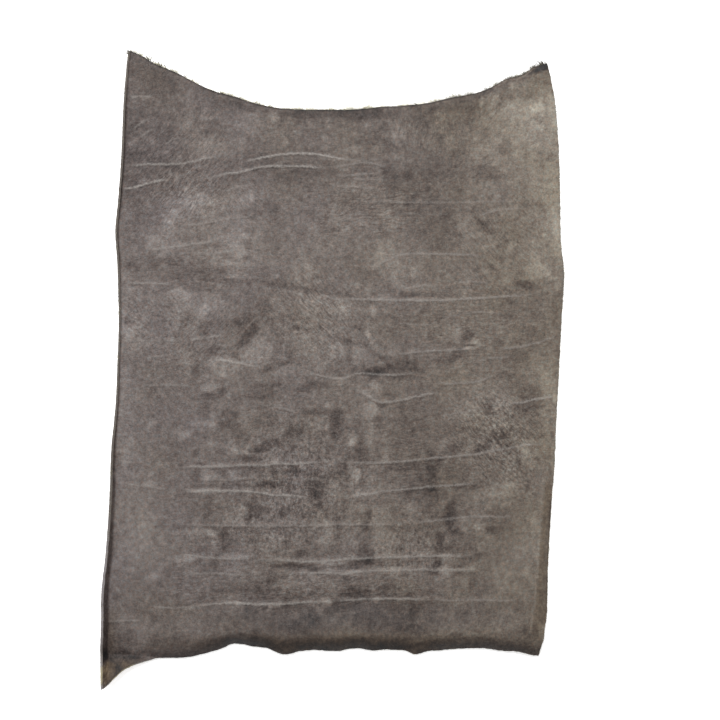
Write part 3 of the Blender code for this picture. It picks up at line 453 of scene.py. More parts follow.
    (150, 249, 7, 4.4, 0, -8), (194, 262, 7, 4.4, 0, -8), (239, 283, 9, 4.4, 0, -9),
    (156, 388, 12, 3.8, 25, -9), (174, 391, 7, 4.4, 0, -8), (106, 348, 6, 12, 0, 11),
    (116, 376, 7, 6, 0, 7), (97, 314, 3.7, 9, 0, 10), (181, 341, 5, 6, 0, 12),
    (181, 325, 7, 6, 0, 10), (243, 302, 6, 4.4, 0, 14), (160, 277, 10, 4.4, -35, 8),
    (169, 262, 4.4, 9, 0, 7), (211, 339, 4.4, 7, 0, 8), (120, 304, 4.4, 9, -30, 6),
    (208, 314, 3.7, 9, 0, 7), (245, 255, 4.4, 4.4, 0, 10), (239, 391, 7, 6, 0, 8),
    # Second reading: upper right
    (325, 310, 9, 6, 30, -15), (334, 299, 6, 7, 0, -9), (303, 370, 12, 3, 0, -7),
    (320, 378, 6, 4.4, 0, -10), (308, 407, 7, 7, 0, -8), (289, 399, 6, 4.4, 0, -9),
    (234, 341, 4.4, 9, 0, -8), (257, 335, 7, 7, 0, -8), (230, 314, 9, 3, 30, -9),
    (255, 298, 7, 3, 0, -8), (289, 316, 7, 3, 0, -8), (304, 326, 4.4, 3, 0, -8),
    (314, 319, 6, 4.4, 0, -10), (226, 405, 19, 4.4, 22, -11), (260, 422, 13, 3.6, 16, -9),
    (286, 430, 12, 3.6, 18, -11), (245, 397, 7, 7, 0, 15), (268, 418, 9, 6, -20, 11),
    (268, 390, 9, 6, -20, 9), (221, 394, 6, 4.4, 0, 9), (305, 387, 15, 7, 0, 13),
    (254, 378, 7, 7, 0, 7), (308, 357, 9, 6, 0, 13), (288, 345, 7, 6, -30, 9),
    (246, 339, 7, 6, 0, 11), (310, 372, 6, 6, 0, 7), (305, 330, 10, 4.4, 0, 8),
    (270, 313, 6, 4.4, 0, 8), (295, 419, 4.4, 6, 0, 7),
    # Second reading: left, above the middle
    (-289, 187, 7, 5, 0, -14), (-300, 206, 4.4, 7, 0, -7), (-260, 200, 6, 6, 0, -9),
    (-252, 214, 4.4, 4.4, 0, -9), (-303, 154, 6, 10, 0, -9), (-201, 205, 6, 6, 0, -8),
    (-195, 194, 10, 4.4, -20, -10), (-167, 182, 9, 7, 0, -5), (-257, 140, 6, 6, 0, -12),
    (-236, 135, 18, 7, 0, -8), (-210, 141, 15, 6, 0, -8), (-195, 126, 6, 4.4, 0, -7),
    (-207, 116, 18, 6, 0, -8), (-245, 116, 9, 6, 0, -7), (-156, 104, 9, 7, -20, -11),
    (-300, 88, 7, 3.7, 0, -11), (-303, 73, 5, 10, -25, -20), (-255, 71, 6, 4.4, 0, -9),
    (-248, 61, 6, 4.4, 0, -7), (-125, 128, 7, 6, 0, -10), (-162, 157, 9, 3.7, 0, -8),
    (-143, 157, 6, 3, 0, -7), (-227, 156, 9, 4.4, 0, -8), (-199, 163, 9, 3, 0, -7),
    (-147, 219, 7, 3.7, 0, -8), (-128, 224, 7, 4.4, 0, -8), (-195, 221, 4.4, 4.4, 0, -8),
    (-292, 197, 4.4, 6, 0, 9), (-233, 217, 9, 4.4, 0, 13), (-244, 209, 7, 4.4, 20, 8),
    (-127, 196, 6, 7, 0, 15), (-247, 168, 9, 6, 30, 12), (-248, 153, 7, 6, -20, 11),
    (-272, 138, 6, 6, 0, 8), (-168, 165, 9, 4.4, 0, 10), (-141, 165, 9, 4.4, 0, 9),
    (-130, 175, 7, 9, 0, 9), (-147, 135, 9, 3.3, 15, 10), (-165, 119, 12, 4.4, 0, 7),
    (-287, 111, 9, 12, 0, 8), (-176, 85, 12, 6, 30, 9), (-139, 91, 7, 6, 0, 7),
    (-236, 76, 6, 7, 0, 8), (-202, 67, 9, 9, 0, 8),
    # Second reading: middle, above
    (9, 206, 7, 6, 0, -20), (-4, 196, 6, 3.7, -20, -7), (-78, 180, 7, 6, 0, -13),
    (-91, 174, 18, 9, 0, -4), (-42, 196, 6, 4.4, 0, -8), (-88, 191, 4.4, 7, 0, -6),
    (5, 162, 6, 4.4, 0, -9), (58, 194, 6, 6, 0, -9), (-84, 129, 7, 4.4, 0, -10),
    (-115, 129, 7, 4.4, 0, -8), (-22, 138, 10, 6, 0, -6), (7, 134, 4.4, 4.4, 0, -8),
    (1, 107, 7, 4.4, -35, -13), (-39, 110, 6, 4.4, 0, -9), (-81, 106, 4.4, 4.4, 0, -8),
    (-115, 106, 7, 6, 0, -7), (18, 94, 6, 4.4, 0, -10), (61, 107, 7, 4.4, -40, -12),
    (30, 106, 9, 4.4, 0, -7), (-113, 77, 6, 6, 0, -13), (-94, 76, 7, 6, 0, -10),
    (-72, 74, 9, 7, 0, -9), (-45, 63, 6, 6, 0, -8), (45, 132, 6, 4.4, 0, -8),
    (-119, 225, 6, 6, 0, -9), (-106, 194, 7, 9, 0, 9), (-67, 165, 6, 6, 0, 7),
    (-45, 168, 10, 10, 40, 9), (-26, 178, 7, 3.7, 0, 8), (-35, 151, 9, 6, 0, 7),
    (-57, 147, 4.4, 6, 0, 7), (-51, 129, 6, 6, 0, 11), (-56, 117, 4.4, 4.4, 0, 11),
    (-23, 129, 7, 6, 0, 11), (12, 154, 6, 4.4, -30, 8), (-11, 107, 7, 5, -50, 15),
    (-87, 104, 4.4, 5, -30, 12), (36, 123, 10, 5, 0, 13), (63, 151, 9, 6, 30, 12),
    (-72, 92, 6, 4.4, 0, 9), (-29, 94, 6, 6, 0, 8), (-19, 85, 4.4, 7, 20, 8),
    (5, 80, 7, 6, 0, 9), (15, 88, 4.4, 4.4, 0, 9), (30, 92, 6, 3.7, 40, 9),
    (-81, 137, 6, 6, 0, 6), (49, 215, 7, 6, 0, 6), (-118, 168, 7, 6, 0, 8),
    (64, 104, 6, 3, -20, 9),
    # Second reading: right of the middle, above
    (116, 245, 13, 3.6, 0, -12), (149, 245, 9, 3, 0, -7), (107, 234, 6, 6, 0, -10),
    (123, 228, 13, 3, 0, -5), (79, 200, 7, 6, 0, -8), (104, 208, 6, 6, 0, -8),
    (110, 194, 9, 6, 0, -10), (95, 175, 7, 6, 0, -13), (92, 165, 7, 3.7, 0, -8),
    (123, 181, 6, 4.4, 0, -8), (162, 178, 6, 9, 0, -11), (180, 214, 6, 6, 0, -6),
    (189, 200, 12, 3.7, 0, -8), (212, 252, 7, 6, 0, -9), (211, 240, 4.4, 6, -50, -9),
    (249, 193, 7, 4.4, -20, -13), (226, 165, 4.4, 6, 20, -9), (239, 153, 9, 5, -40, -10),
    (214, 143, 9, 6, 0, -10), (166, 141, 7, 4.4, 0, -8), (184, 123, 6, 6, 0, -9),
    (82, 230, 9, 9, 0, 12), (91, 215, 6, 9, 30, 9), (135, 196, 4.4, 9, 0, 9),
    (159, 200, 10, 7, 35, 10), (89, 153, 12, 6, 10, 12), (122, 141, 6, 12, 0, 15),
    (91, 137, 6, 7, 0, 9), (98, 122, 10, 4.4, -25, 12), (112, 111, 7, 6, 0, 9),
    (150, 116, 5, 4.4, 0, 15), (76, 163, 6, 6, 0, 8), (192, 211, 10, 7, 0, 9),
    (214, 197, 9, 7, 0, 10), (203, 181, 7, 7, 0, 9), (226, 181, 6, 6, 0, 14),
    (240, 181, 6, 7, 0, 10), (230, 144, 6, 6, 0, 8), (172, 181, 4.4, 9, 0, 5),
    (242, 209, 4.4, 6, 0, 7),
    # Second reading: right
    (245, 280, 12, 3.8, 0, -11), (323, 277, 6, 5, 0, -12), (325, 262, 7, 6, 0, -17),
    (322, 240, 5, 7, 0, -10), (218, 274, 4.4, 6, 0, -8), (237, 254, 4.4, 4.4, 0, -8),
    (255, 245, 9, 7, 0, -8), (280, 237, 7, 6, 0, -6), (274, 221, 6, 4.4, 0, -8),
    (249, 180, 6, 4.4, 0, -11), (288, 166, 7, 4.4, -35, -10), (282, 141, 7, 6, 0, -8),
    (319, 180, 4.4, 4.4, 0, -7), (329, 162, 6, 4.4, 0, -8), (261, 276, 6, 6, 0, 10),
    (301, 267, 7, 3.7, 0, 8), (248, 259, 4.4, 7, 0, 9), (316, 254, 4.4, 4.4, 0, 8),
    (305, 228, 7, 6, -30, 6), (319, 211, 7, 6, 0, 11), (317, 196, 10, 4.4, 0, 12),
    (283, 211, 6, 6, 0, 8), (334, 181, 6, 6, 30, 9), (267, 181, 9, 6, 40, 8),
    (304, 159, 6, 10, 0, 10), (313, 151, 6, 6, 0, 11), (257, 144, 10, 6, 20, 7),
    (326, 132, 6, 4.4, 0, 8),
    # Second reading: left, above and below the middle
    (-304, 64, 6, 4.4, 0, -7), (-297, 79, 4.4, 7, 0, -5), (-275, 69, 3.7, 9, 0, 6),
    (-244, 61, 3.7, 7, 0, -6), (-230, 61, 6, 13, 0, 6), (-252, 49, 13, 4.4, 0, -5),
    (-204, 58, 6, 4.4, 0, 7), (-171, 58, 10, 3, -10, 7), (-167, 46, 9, 3.7, 0, 10),
    (-146, 46, 4.4, 6, 0, 9), (-167, 33, 7, 6, 0, -8), (-159, 30, 4.4, 4.4, 0, -5),
    (-184, 34, 9, 4.4, 0, 5), (-176, 21, 10, 3.7, 0, -12), (-149, 21, 6, 6, 0, -6),
    (-149, 15, 6, 3.7, 0, -6), (-150, 39, 3.7, 4.4, 0, 5), (-267, 33, 10, 4.4, 0, 8),
    (-288, 32, 10, 5, 0, 7), (-233, 24, 4.4, 7, 0, -7), (-223, 24, 6, 7, 0, 9),
    (-204, 20, 10, 4.4, 0, -6), (-252, 5, 9, 5, 20, -12), (-269, 11, 6, 3, 0, -5),
    (-159, -5, 7, 9, 0, 9), (-186, -10, 4.4, 12, 0, 6), (-176, -4, 4.4, 7, 0, -6),
    (-210, -20, 12, 4.4, 0, -6), (-269, -20, 6, 6, 0, -5), (-190, -28, 6, 4.4, 0, 5),
    (-178, -35, 6, 4.4, 0, 6), (-165, -38, 4.4, 7, 0, -8), (-152, -34, 6, 4.4, 0, 5),
    (-146, -47, 7, 5, 30, -8), (-284, -47, 7, 12, -45, 5), (-238, -53, 9, 4.4, 25, -6),
    (-248, -54, 4.4, 6, 0, -5), (-190, -54, 12, 5, 0, -7), (-266, -77, 9, 6, 0, 7),
    (-224, -65, 10, 4.4, 0, -6), (-180, -79, 7, 4.4, 0, 6), (-164, -54, 6, 7, 0, 5),
    (-141, -82, 4.4, 6, 0, 5), (-150, -69, 3.7, 4.4, 0, -7),
    # Second reading: middle, above and below
    (-122, 37, 6, 7, 0, -16), (-131, 34, 5, 4.4, 0, -8), (-144, 20, 5, 9, 30, -8),
    (-127, 60, 7, 3.7, 0, 8), (-134, 54, 4.4, 4.4, 0, -5), (-110, 79, 6, 7, 0, -8),
    (-93, 67, 7, 7, 0, -8), (-76, 79, 7, 4.4, 0, -6), (-75, 54, 4.4, 13, 0, -7),
    (-72, 39, 3.7, 7, 0, -6), (-107, 42, 4.4, 3.7, 0, 6), (-66, 46, 9, 4.4, 0, 10),
    (-67, 61, 9, 6, 0, 5), (-51, 48, 2.2, 6, 0, -5), (-41, 46, 6, 7, 0, 11),
    (-44, 58, 5, 4.4, 0, -9), (-28, 52, 4.4, 4.4, 0, -5), (-28, 64, 13, 6, 30, 7),
    (-16, 71, 6, 7, 0, -8), (7, 57, 9, 5, 20, 10), (-17, 42, 9, 7, 0, 8),
    (23, 43, 5, 4.4, 0, -8), (7, 34, 7, 4.4, 50, 8), (33, 61, 6, 9, 0, -5),
    (-13, 21, 7, 4.4, 0, -10), (-16, 3, 10, 6, 40, 11), (-23, 12, 6, 9, 0, 8),
    (-93, 21, 6, 12, 0, 8), (-102, 11, 6, 9, 30, 6), (-112, 3, 6, 5, 0, 11),
    (-125, 21, 15, 6, -20, 5), (-50, 5, 4.4, 7, -30, 9), (-56, 12, 4.4, 6, 0, 6),
    (-91, 5, 6, 3, 0, -6), (-100, -3, 4.4, 6, 0, -6), (-85, -5, 7, 9, 0, 15),
    (-72, -10, 6, 9, 0, 6), (-115, -13, 7, 4.4, 0, -6), (-32, -5, 9, 6, 0, 8),
    (-32, -16, 4.4, 4.4, 0, -7), (-22, -23, 7, 6, 0, -8), (9, -5, 7, 6, -40, -13),
    (2, -11, 6, 3, 0, -6), (18, 5, 6, 7, 0, -6), (33, -10, 6, 12, 0, -10),
    (14, -19, 6, 9, 0, 10), (18, -35, 6, 13, 0, 5), (-112, -28, 13, 4.4, 0, 5),
    (-82, -22, 6, 5, 0, -8), (-122, -42, 7, 7, 0, -8), (-104, -41, 10, 6, -20, -8),
    (-28, -40, 5, 6, 0, 7), (-44, -38, 6, 6, 0, -6), (2, -42, 3.7, 4.4, 0, -7),
    (-4, -53, 7, 6, 0, 8), (-81, -54, 7, 4.4, 0, 6), (26, -53, 4.4, 9, 0, -7),
    (33, -42, 6, 7, 0, -8),
    # Second reading: right of the middle
    (70, 106, 9, 4.4, 20, 9), (63, 101, 6, 2.2, 40, -9), (100, 100, 4.4, 4.4, 0, -7),
    (115, 104, 9, 6, 0, 5), (33, 94, 6, 3, -50, 6), (162, 92, 6, 4.4, 0, 8),
    (184, 83, 7, 3.7, 30, 9), (205, 94, 9, 6, 0, 8), (180, 95, 6, 3.7, 0, -6),
    (203, 83, 9, 3, 0, -5), (82, 71, 9, 4.4, 0, 9), (122, 69, 13, 3, 0, -6),
    (101, 64, 12, 3.7, -10, -9), (85, 57, 7, 6, 0, -8), (140, 77, 4.4, 3, 0, -6),
    (140, 52, 7, 9, 0, 6), (57, 42, 7, 10, 0, 15), (57, 39, 3.7, 3, 0, 8),
    (125, 40, 4.4, 10, 0, -6), (150, 45, 7, 4.4, 0, -6), (190, 57, 7, 6, 0, 7),
    (206, 54, 4.4, 4.4, 0, -6), (211, 42, 6, 6, 0, 14), (211, 33, 15, 3.7, 0, -8),
    (194, 27, 7, 3.7, -20, -11), (189, 21, 6, 4.4, 0, -9), (61, 30, 7, 4.4, 0, 6),
    (89, 24, 5, 7, 0, 9), (72, 24, 9, 4.4, 0, 7), (137, 20, 7, 4.4, 0, -7),
    (165, 8, 7, 6, 0, -7), (72, 2, 12, 7, 0, 13), (57, -8, 6, 4.4, 0, -10),
    (70, -8, 13, 3, 0, -8), (100, -10, 15, 2.2, 0, -9), (122, -8, 6, 6, 0, 7),
    (146, 0, 12, 3.7, 25, 5), (160, -13, 6, 7, 0, -10), (171, -13, 7, 4.4, 0, -8),
    (189, -13, 10, 4.4, 0, 7), (196, -4, 9, 6, 0, 6), (192, 5, 4.4, 4.4, 0, 7),
    (63, -23, 9, 7, -40, 12), (48, -32, 9, 3, 0, 7), (61, -42, 4.4, 3.7, 0, 9),
    (51, -40, 6, 3.7, 0, -7), (91, -44, 7, 4.4, 0, -7), (129, -42, 12, 4.4, 0, -9),
    (159, -29, 6, 7, 0, -8), (174, -42, 9, 7, 0, 9),
    # Second reading: right side, above the middle
    (184, 125, 7, 4.4, 0, 5), (203, 131, 4.4, 7, -40, 6), (254, 129, 9, 7, 0, 5),
    (282, 138, 6, 4.4, 0, 9), (298, 134, 7, 4.4, 0, 6), (329, 135, 7, 6, 0, 9),
    (251, 113, 7, 4.4, 20, -10), (292, 125, 6, 9, 0, -8), (310, 120, 6, 5, 0, -9),
    (313, 110, 7, 4.4, 0, -10), (332, 111, 7, 3.7, 0, -9), (334, 123, 7, 6, 0, 13),
    (316, 91, 5, 7, 0, 12), (264, 91, 9, 3.7, 0, -6), (233, 79, 7, 4.4, 0, 6),
    (258, 66, 4.4, 3.7, 0, -7), (283, 60, 6, 9, 0, -5), (332, 76, 6, 6, 0, -7),
    (303, 70, 6, 9, 0, 5), (317, 71, 6, 6, 0, 5), (308, 60, 9, 4.4, 0, 5),
    (294, 34, 6, 5, 0, -14), (283, 39, 4.4, 4.4, 0, -7), (298, 42, 7, 4.4, 0, 6),
    (308, 37, 13, 6, 0, 5), (245, 29, 7, 4.4, 30, -7), (240, 30, 4.4, 6, 0, 7),
    (249, 17, 7, 6, 0, -8), (268, 21, 7, 4.4, 0, -7), (300, 20, 6, 7, 0, 6),
    (310, 17, 6, 6, 0, 6), (268, 5, 4.4, 3.7, 0, -7), (263, -11, 7, 7, 0, -12),
    (270, -4, 6, 4.4, 0, 7), (310, 5, 6, 4.4, 0, 5), (303, -10, 4.4, 6, 0, 7),
    (319, 0, 6, 7, 0, -5), (332, -13, 7, 6, 0, -6),
    # Second reading: right side, below the middle
    (205, -25, 9, 3.7, 0, -6), (211, -38, 6, 4.4, 0, -8), (220, -42, 6, 3, 30, -5),
    (236, -40, 7, 6, 0, 6), (251, -23, 4.4, 6, 0, 5), (261, -38, 4.4, 6, 0, 8),
    (266, -17, 6, 4.4, 0, -5), (279, -25, 15, 3, 15, -6), (274, -42, 7, 4.4, 0, -6),
    (249, -50, 4.4, 3, 30, -7), (224, -53, 4.4, 6, 0, -5), (245, -60, 10, 3.7, 0, 13),
    (263, -54, 7, 4.4, 15, 11), (264, -65, 3, 6, 0, 8), (240, -68, 7, 6, 0, -12),
    (226, -69, 4.4, 7, 0, -9), (218, -65, 7, 4.4, 0, 6), (273, -72, 3, 5, 0, -7),
    (252, -77, 6, 4.4, 0, 7), (230, -77, 5, 6, 0, 6), (279, -78, 4.4, 3, 0, 7),
    (300, -68, 9, 4.4, -10, -10), (300, -79, 10, 6, 0, -5), (319, -54, 4.4, 7, 45, -8),
    (310, -53, 4.4, 6, 0, 7), (331, -44, 3.7, 7, 0, 20), (328, -68, 4.4, 6, 0, 6),
    (209, -82, 7, 4.4, 0, 8), (211, -90, 6, 4.4, 0, -10), (186, -78, 12, 4.4, 0, -5),
    (224, -94, 5, 6, 0, 8), (245, -87, 7, 4.4, -30, 9), (249, -82, 6, 3, -30, -8),
    (233, -102, 3.7, 7, 0, -7), (243, -102, 6, 5, 0, -7), (263, -94, 6, 6, 0, -9),
    (273, -85, 4.4, 3, -40, -6), (273, -99, 6, 7, 0, 12), (313, -100, 7, 5, 0, -13),
    (328, -100, 3.7, 7, 0, -16), (209, -106, 6, 6, 0, 8), (184, -102, 9, 4.4, 0, -6),
    (218, -116, 7, 7, 0, -12), (248, -112, 4.4, 6, 0, 6), (230, -114, 6, 6, 0, -6),
    (258, -116, 6, 6, 0, -10), (285, -118, 10, 6, 0, 10), (325, -118, 3, 9, 0, -12),
    (249, -124, 10, 3, 0, 7), (181, -131, 10, 6, 0, -8), (240, -131, 6, 4.4, 0, -10),
    (226, -131, 4.4, 6, 0, -6), (270, -131, 6, 3, 0, -6), (211, -137, 6, 7, 30, 9),
    (226, -145, 9, 4.4, -30, -8), (255, -131, 6, 6, 0, 7), (266, -148, 10, 4.4, 0, 8),
    (297, -142, 10, 9, 0, 12), (324, -131, 3, 7, 0, -9), (323, -151, 3, 9, 0, -13),
    (248, -158, 6, 5, 0, 11), (270, -159, 7, 3.7, -30, 9), (190, -173, 15, 3.7, 0, -14),
    (181, -188, 7, 4.4, 0, -7), (196, -190, 5, 3.7, 0, -10), (214, -188, 6, 6, 0, 7),
    (233, -180, 10, 4.4, 0, 6), (258, -177, 12, 4.4, 0, 6), (285, -177, 4.4, 4.4, 0, -7),
    (277, -168, 7, 3.7, 0, -10), (263, -192, 7, 5, -20, -9), (227, -205, 6, 5, 0, 10),
    (260, -201, 7, 6, 0, 10), (236, -202, 4.4, 4.4, 0, -6), (283, -198, 9, 7, 0, -6),
    (184, -202, 7, 4.4, -30, -7), (199, -216, 9, 6, -30, -10), (229, -213, 7, 4.4, 0, -7),
    (249, -216, 10, 4.4, 0, -9), (221, -220, 10, 4.4, 0, 7), (199, -225, 9, 2.2, 0, 5),
    (251, -230, 7, 6, 0, -9), (184, -239, 6, 7, 0, -10), (214, -236, 9, 7, 0, 12),
    (233, -236, 5, 5, 0, -11), (234, -247, 10, 5, 15, 12), (300, -239, 7, 6, 0, -6),
    (268, -251, 6, 4.4, 0, -5), (199, -264, 7, 7, 0, -8), (220, -266, 9, 9, 0, 10),
    (184, -276, 7, 4.4, 0, -8), (212, -282, 12, 7, 20, -15), (196, -291, 10, 4.4, 20, -9),
    (203, -296, 9, 3, 0, 5), (240, -306, 7, 6, 0, 6), (252, -285, 6, 4.4, 0, -5),
    (234, -299, 6, 4.4, 0, -5), (298, -287, 6, 7, 0, -8), (302, -306, 5, 6, 0, 12),
    # The rows at (325, -213) here and (324, -241) on the next line paint shade along the right edge.
    (325, -213, 2.2, 18, 0, -14), (301, -248, 7, 47, 0, 6), (-335, -439, 7, 12, 0, 30),
    (324, -241, 2.2, 18, 0, -10),
    # Second reading: lower right
    (260, -324, 18, 4.4, 0, 8), (249, -336, 4.4, 10, 0, 8), (279, -336, 6, 7, 0, 6),
    (229, -315, 4.4, 7, 30, 6), (263, -301, 13, 7, 0, 5), (288, -301, 6, 12, 0, 5),
    (189, -318, 12, 4.4, 0, -5), (206, -336, 10, 3.7, 0, -7), (196, -350, 9, 4.4, 0, -7),
    (181, -364, 4.4, 7, 0, -6), (199, -364, 9, 4.4, 0, -5), (277, -364, 4.4, 6, 0, 7),
    (300, -355, 6, 6, 0, 9), (252, -378, 6, 7, 0, -11), (239, -395, 6, 4.4, 0, -9),
    (220, -395, 13, 3, 0, -8), (279, -384, 12, 12, 0, -8), (187, -393, 15, 4.4, 0, -7),
    # The last row on the next line paints shade along the right edge.
    (205, -403, 24, 3.7, 0, 8), (309, -383, 6, 10, 0, 13), (320, -340, 2.4, 21, 0, -26),
    # Second reading: along the low edge
    (-303, -365, 7, 6, 0, 5), (-258, -362, 6, 7, 0, 7), (-273, -380, 7, 7, 0, 9),
    (-245, -364, 3.7, 7, 0, 5), (-211, -353, 9, 4.4, 0, 10), (-189, -365, 7, 6, 0, 6),
    (-174, -355, 7, 4.4, 15, 6), (-318, -375, 7, 4.4, -20, -7), (-300, -390, 10, 6, 0, -7),
    (-226, -393, 15, 6, 0, -11), (-229, -383, 6, 4.4, 0, -6), (-208, -387, 6, 9, 0, -5),
    (-171, -390, 12, 4.4, 0, -11), (-190, -390, 6, 6, 0, -5), (-170, -405, 9, 4.4, 0, 8),
    (-196, -412, 6, 6, 0, 5), (-263, -412, 6, 4.4, 0, -7), (-318, -399, 10, 4.4, 0, 6),
    # The middle row on the next line paints the shadow under the lower left corner's crease.
    (-322, -414, 6, 7, 0, 6), (-294, -428, 24, 3.7, 0, -16), (-315, -438, 12, 4.4, 0, 7),
    (-134, -336, 6, 6, 0, 5), (-131, -350, 4.4, 4.4, 0, 6), (-121, -349, 6, 4.4, 0, -11),
    (-100, -353, 7, 4.4, 0, -15), (-78, -341, 12, 4.4, 0, 9), (-62, -350, 12, 3, 0, -9),
    (-56, -356, 10, 3.7, 0, 9), (-85, -355, 4.4, 4.4, 0, 5), (-22, -350, 6, 5, 0, 12),
    (-11, -342, 6, 3, 0, -7), (-13, -334, 9, 4.4, 0, 6), (4, -338, 4.4, 6, 0, 5),
    (-32, -364, 6, 7, 0, -8), (-47, -375, 4.4, 4.4, 0, -8), (-106, -368, 4.4, 4.4, 0, -6),
    (-81, -380, 7, 9, 0, 5), (-134, -398, 18, 3.7, 0, 11), (-67, -408, 10, 9, 0, -8),
    (-11, -405, 12, 4.4, 0, 7), (17, -404, 7, 7, 0, 7), (-115, -411, 7, 3, -20, -9),
    (29, -334, 4.4, 4.4, 0, 5), (70, -340, 6, 6, 0, 12), (73, -350, 6, 4.4, 0, -8),
    (150, -334, 4.4, 6, 0, 7), (125, -340, 6, 4.4, 0, -6), (33, -364, 6, 4.4, 0, -7),
    (79, -370, 5, 12, 0, -11), (54, -378, 4.4, 12, 0, -8), (135, -374, 10, 7, 0, 5),
    (141, -384, 6, 6, 0, 6), (159, -380, 7, 6, 0, -7), (171, -374, 6, 7, 0, 6),
    (181, -365, 4.4, 6, 0, -6), (184, -393, 12, 4.4, 0, -6), (126, -410, 16, 6, 0, -12),
    # The last row on the next line, and the first two on the line after it, paint shade at the upper
    # right tip of the edge.
    (180, -406, 27, 4.4, 0, 7), (72, -408, 6, 7, 0, -5), (316, 447, 4.4, 3.7, 0, -28),
    (304, 441, 9, 1.9, 28, -22), (292, 436, 6, 1.5, 28, -16), (266, 416, 3.7, 3, -45, 10),
    (221, 393, 3, 9, 0, 8), (307, 333, 13, 2.2, 10, 8), (301, 328, 6, 1.8, 0, -8),
    (-329, -447, 12, 18, 0, 28), (-313, -435, 15, 6, -22, 20), (-335, -463, 6, 9, 0, 26),
    (-301, -433, 18, 6, -20, 14),
)

# Growth marks: pale scars and wrinkles, each with its strength and the points it runs through.
GROWTH_MARKS = (
    (0.6, ((-300, 400), (-284, 402), (-267, 400))),
    (0.85, ((-303, 299), (-269, 302), (-230, 302), (-195, 308), (-167, 314))),
    (1.15, ((-309, 265), (-289, 268), (-269, 274), (-242, 280))),
    (1, ((-187, 280), (-162, 286), (-131, 291), (-99, 298), (-47, 299), (-2, 296))),
    (0.45, ((-2, 296), (27, 301), (55, 304), (86, 296))),
    (1.2, ((-131, 305), (-103, 311), (-76, 316), (-41, 318), (-2, 313), (35, 305))),
    (0.4, ((-158, 262), (-139, 268), (-118, 271))),
    (0.45, ((2, 285), (35, 286), (69, 288))),
    (0.4, ((-1, 271), (35, 268), (69, 265))),
    (0.35, ((32, 248), (95, 246), (153, 245), (220, 246), (285, 248))),
    (0.45, ((-230, 212), (-204, 212), (-177, 217), (-109, 227))),
    (0.6, ((-273, 175), (-250, 177), (-224, 181), (-195, 185), (-170, 188))),
    (0.4, ((-210, 169), (-180, 169), (-150, 171))),
    (0.55, ((55, 148), (82, 159), (109, 168), (160, 169), (233, 166))),
    (0.6, ((-307, 126), (-273, 126), (-239, 123))),
    (0.75, ((-5, 103), (72, 101), (147, 100), (233, 104), (307, 110))),
    (0.7, ((-213, 42), (-184, 45), (-158, 51))),
    (0.35, ((-273, 15), (-239, 20))),
    (0.85, ((-177, 12), (-153, 11), (-131, 6), (-109, 2))),
    (0.6, ((95, 21), (156, 26), (217, 30))),
    (0.6, ((245, 27), (285, 33), (310, 39), (335, 48))),
    (0.65, ((-41, -7), (-14, -11), (12, -16), (42, -8), (86, -10), (132, -8))),
    (0.55, ((150, -22), (174, -23), (197, -22), (220, -19), (243, -11))),
    (0.75, ((35, -29), (54, -41), (73, -50), (100, -48), (131, -41), (163, -35))),
    (0.4, ((-285, -26), (-239, -25), (-199, -28))),
    (0.5, ((-90, -57), (-70, -60), (-51, -66))),
    (1, ((264, -53), (285, -50), (308, -45), (332, -42))),
    (0.85, ((-235, -148), (-195, -146), (-146, -145), (-78, -142), (-2, -139))),
    (0.7, ((-2, -139), (49, -140), (100, -139), (144, -134), (214, -127), (257, -119),
        (289, -114), (328, -109))),
    (0.5, ((-312, -139), (-291, -140))),
    (0.45, ((-307, -171), (-287, -173), (-266, -176), (-244, -179))),
    (1.15, ((-223, -182), (-192, -182), (-159, -182), (-113, -183), (-82, -188), (-51, -190),
        (-26, -193))),
    (0.75, ((15, -193), (36, -189), (57, -186), (81, -182), (107, -179), (138, -176),
        (184, -173), (223, -170))),
    (0.5, ((-235, -232), (-150, -233), (-65, -233), (27, -232), (115, -230))),
    (0.5, ((115, -230), (149, -226), (184, -222), (227, -220), (276, -220))),
    (0.6, ((-227, -276), (-173, -281), (-118, -282))),
    (0.8, ((-118, -282), (-69, -285), (-32, -287), (5, -285), (41, -282), (115, -279),
        (168, -278), (226, -278))),
    (0.55, ((-220, -304), (-173, -304), (-128, -307))),
    (0.75, ((-65, -303), (-10, -303), (20, -304), (46, -301), (109, -299), (160, -299),
        (217, -299))),
    (0.5, ((-272, -353), (-239, -355), (-205, -353))),
    (0.9, ((-205, -353), (-173, -349), (-141, -347), (-90, -350), (-47, -347), (-2, -344))),
    (0.85, ((-2, -344), (30, -343), (64, -341), (101, -341), (144, -343))),
    (0.5, ((144, -343), (212, -344), (279, -344))),
    (0.45, ((-332, -375), (-306, -374), (-281, -373))),
    (0.4, ((-324, -319), (-316, -328), (-310, -336))),
    (0.4, ((-316, -344), (-312, -352), (-306, -361))),
    (0.6, ((-294, 353), (-282, 363), (-273, 369))),
    (0.5, ((-284, 341), (-273, 348), (-263, 354))),
    (0.35, ((-247, 330), (-236, 338), (-223, 341))),
    (0.3, ((20, 310), (45, 307), (72, 310))),
    (0.3, ((30, 280), (54, 279), (81, 280))),
    (0.4, ((183, 125), (205, 128), (234, 125))),
    (0.35, ((98, 125), (116, 119), (137, 123), (155, 120))),
    (0.35, ((162, 74), (187, 79), (220, 83), (257, 79))),
    (0.3, ((94, 66), (131, 64), (160, 67))),
    (0.2, ((98, 230), (131, 227), (171, 228))),
    (0.4, ((215, 225), (249, 234), (282, 237))),
    (0.35, ((-202, -164), (-173, -165), (-136, -164), (-103, -162))),
    (0.35, ((-47, -164), (-25, -165), (-1, -164))),
    (0.4, ((-195, -242), (-177, -241), (-162, -247))),
    (0.4, ((12, -167), (24, -173), (35, -182))),
    (0.4, ((160, -72), (190, -66), (220, -60))),
    (0.35, ((-143, 37), (-156, 33), (-174, 36))),
    (0.45, ((-10, 107), (12, 100), (30, 97))),
    (0.4, ((-47, 85), (-32, 79), (-20, 67))),
    (0.35, ((205, 8), (234, 14), (267, 17))),
    (0.35, ((-313, 42), (-269, 40), (-215, 42))),
)

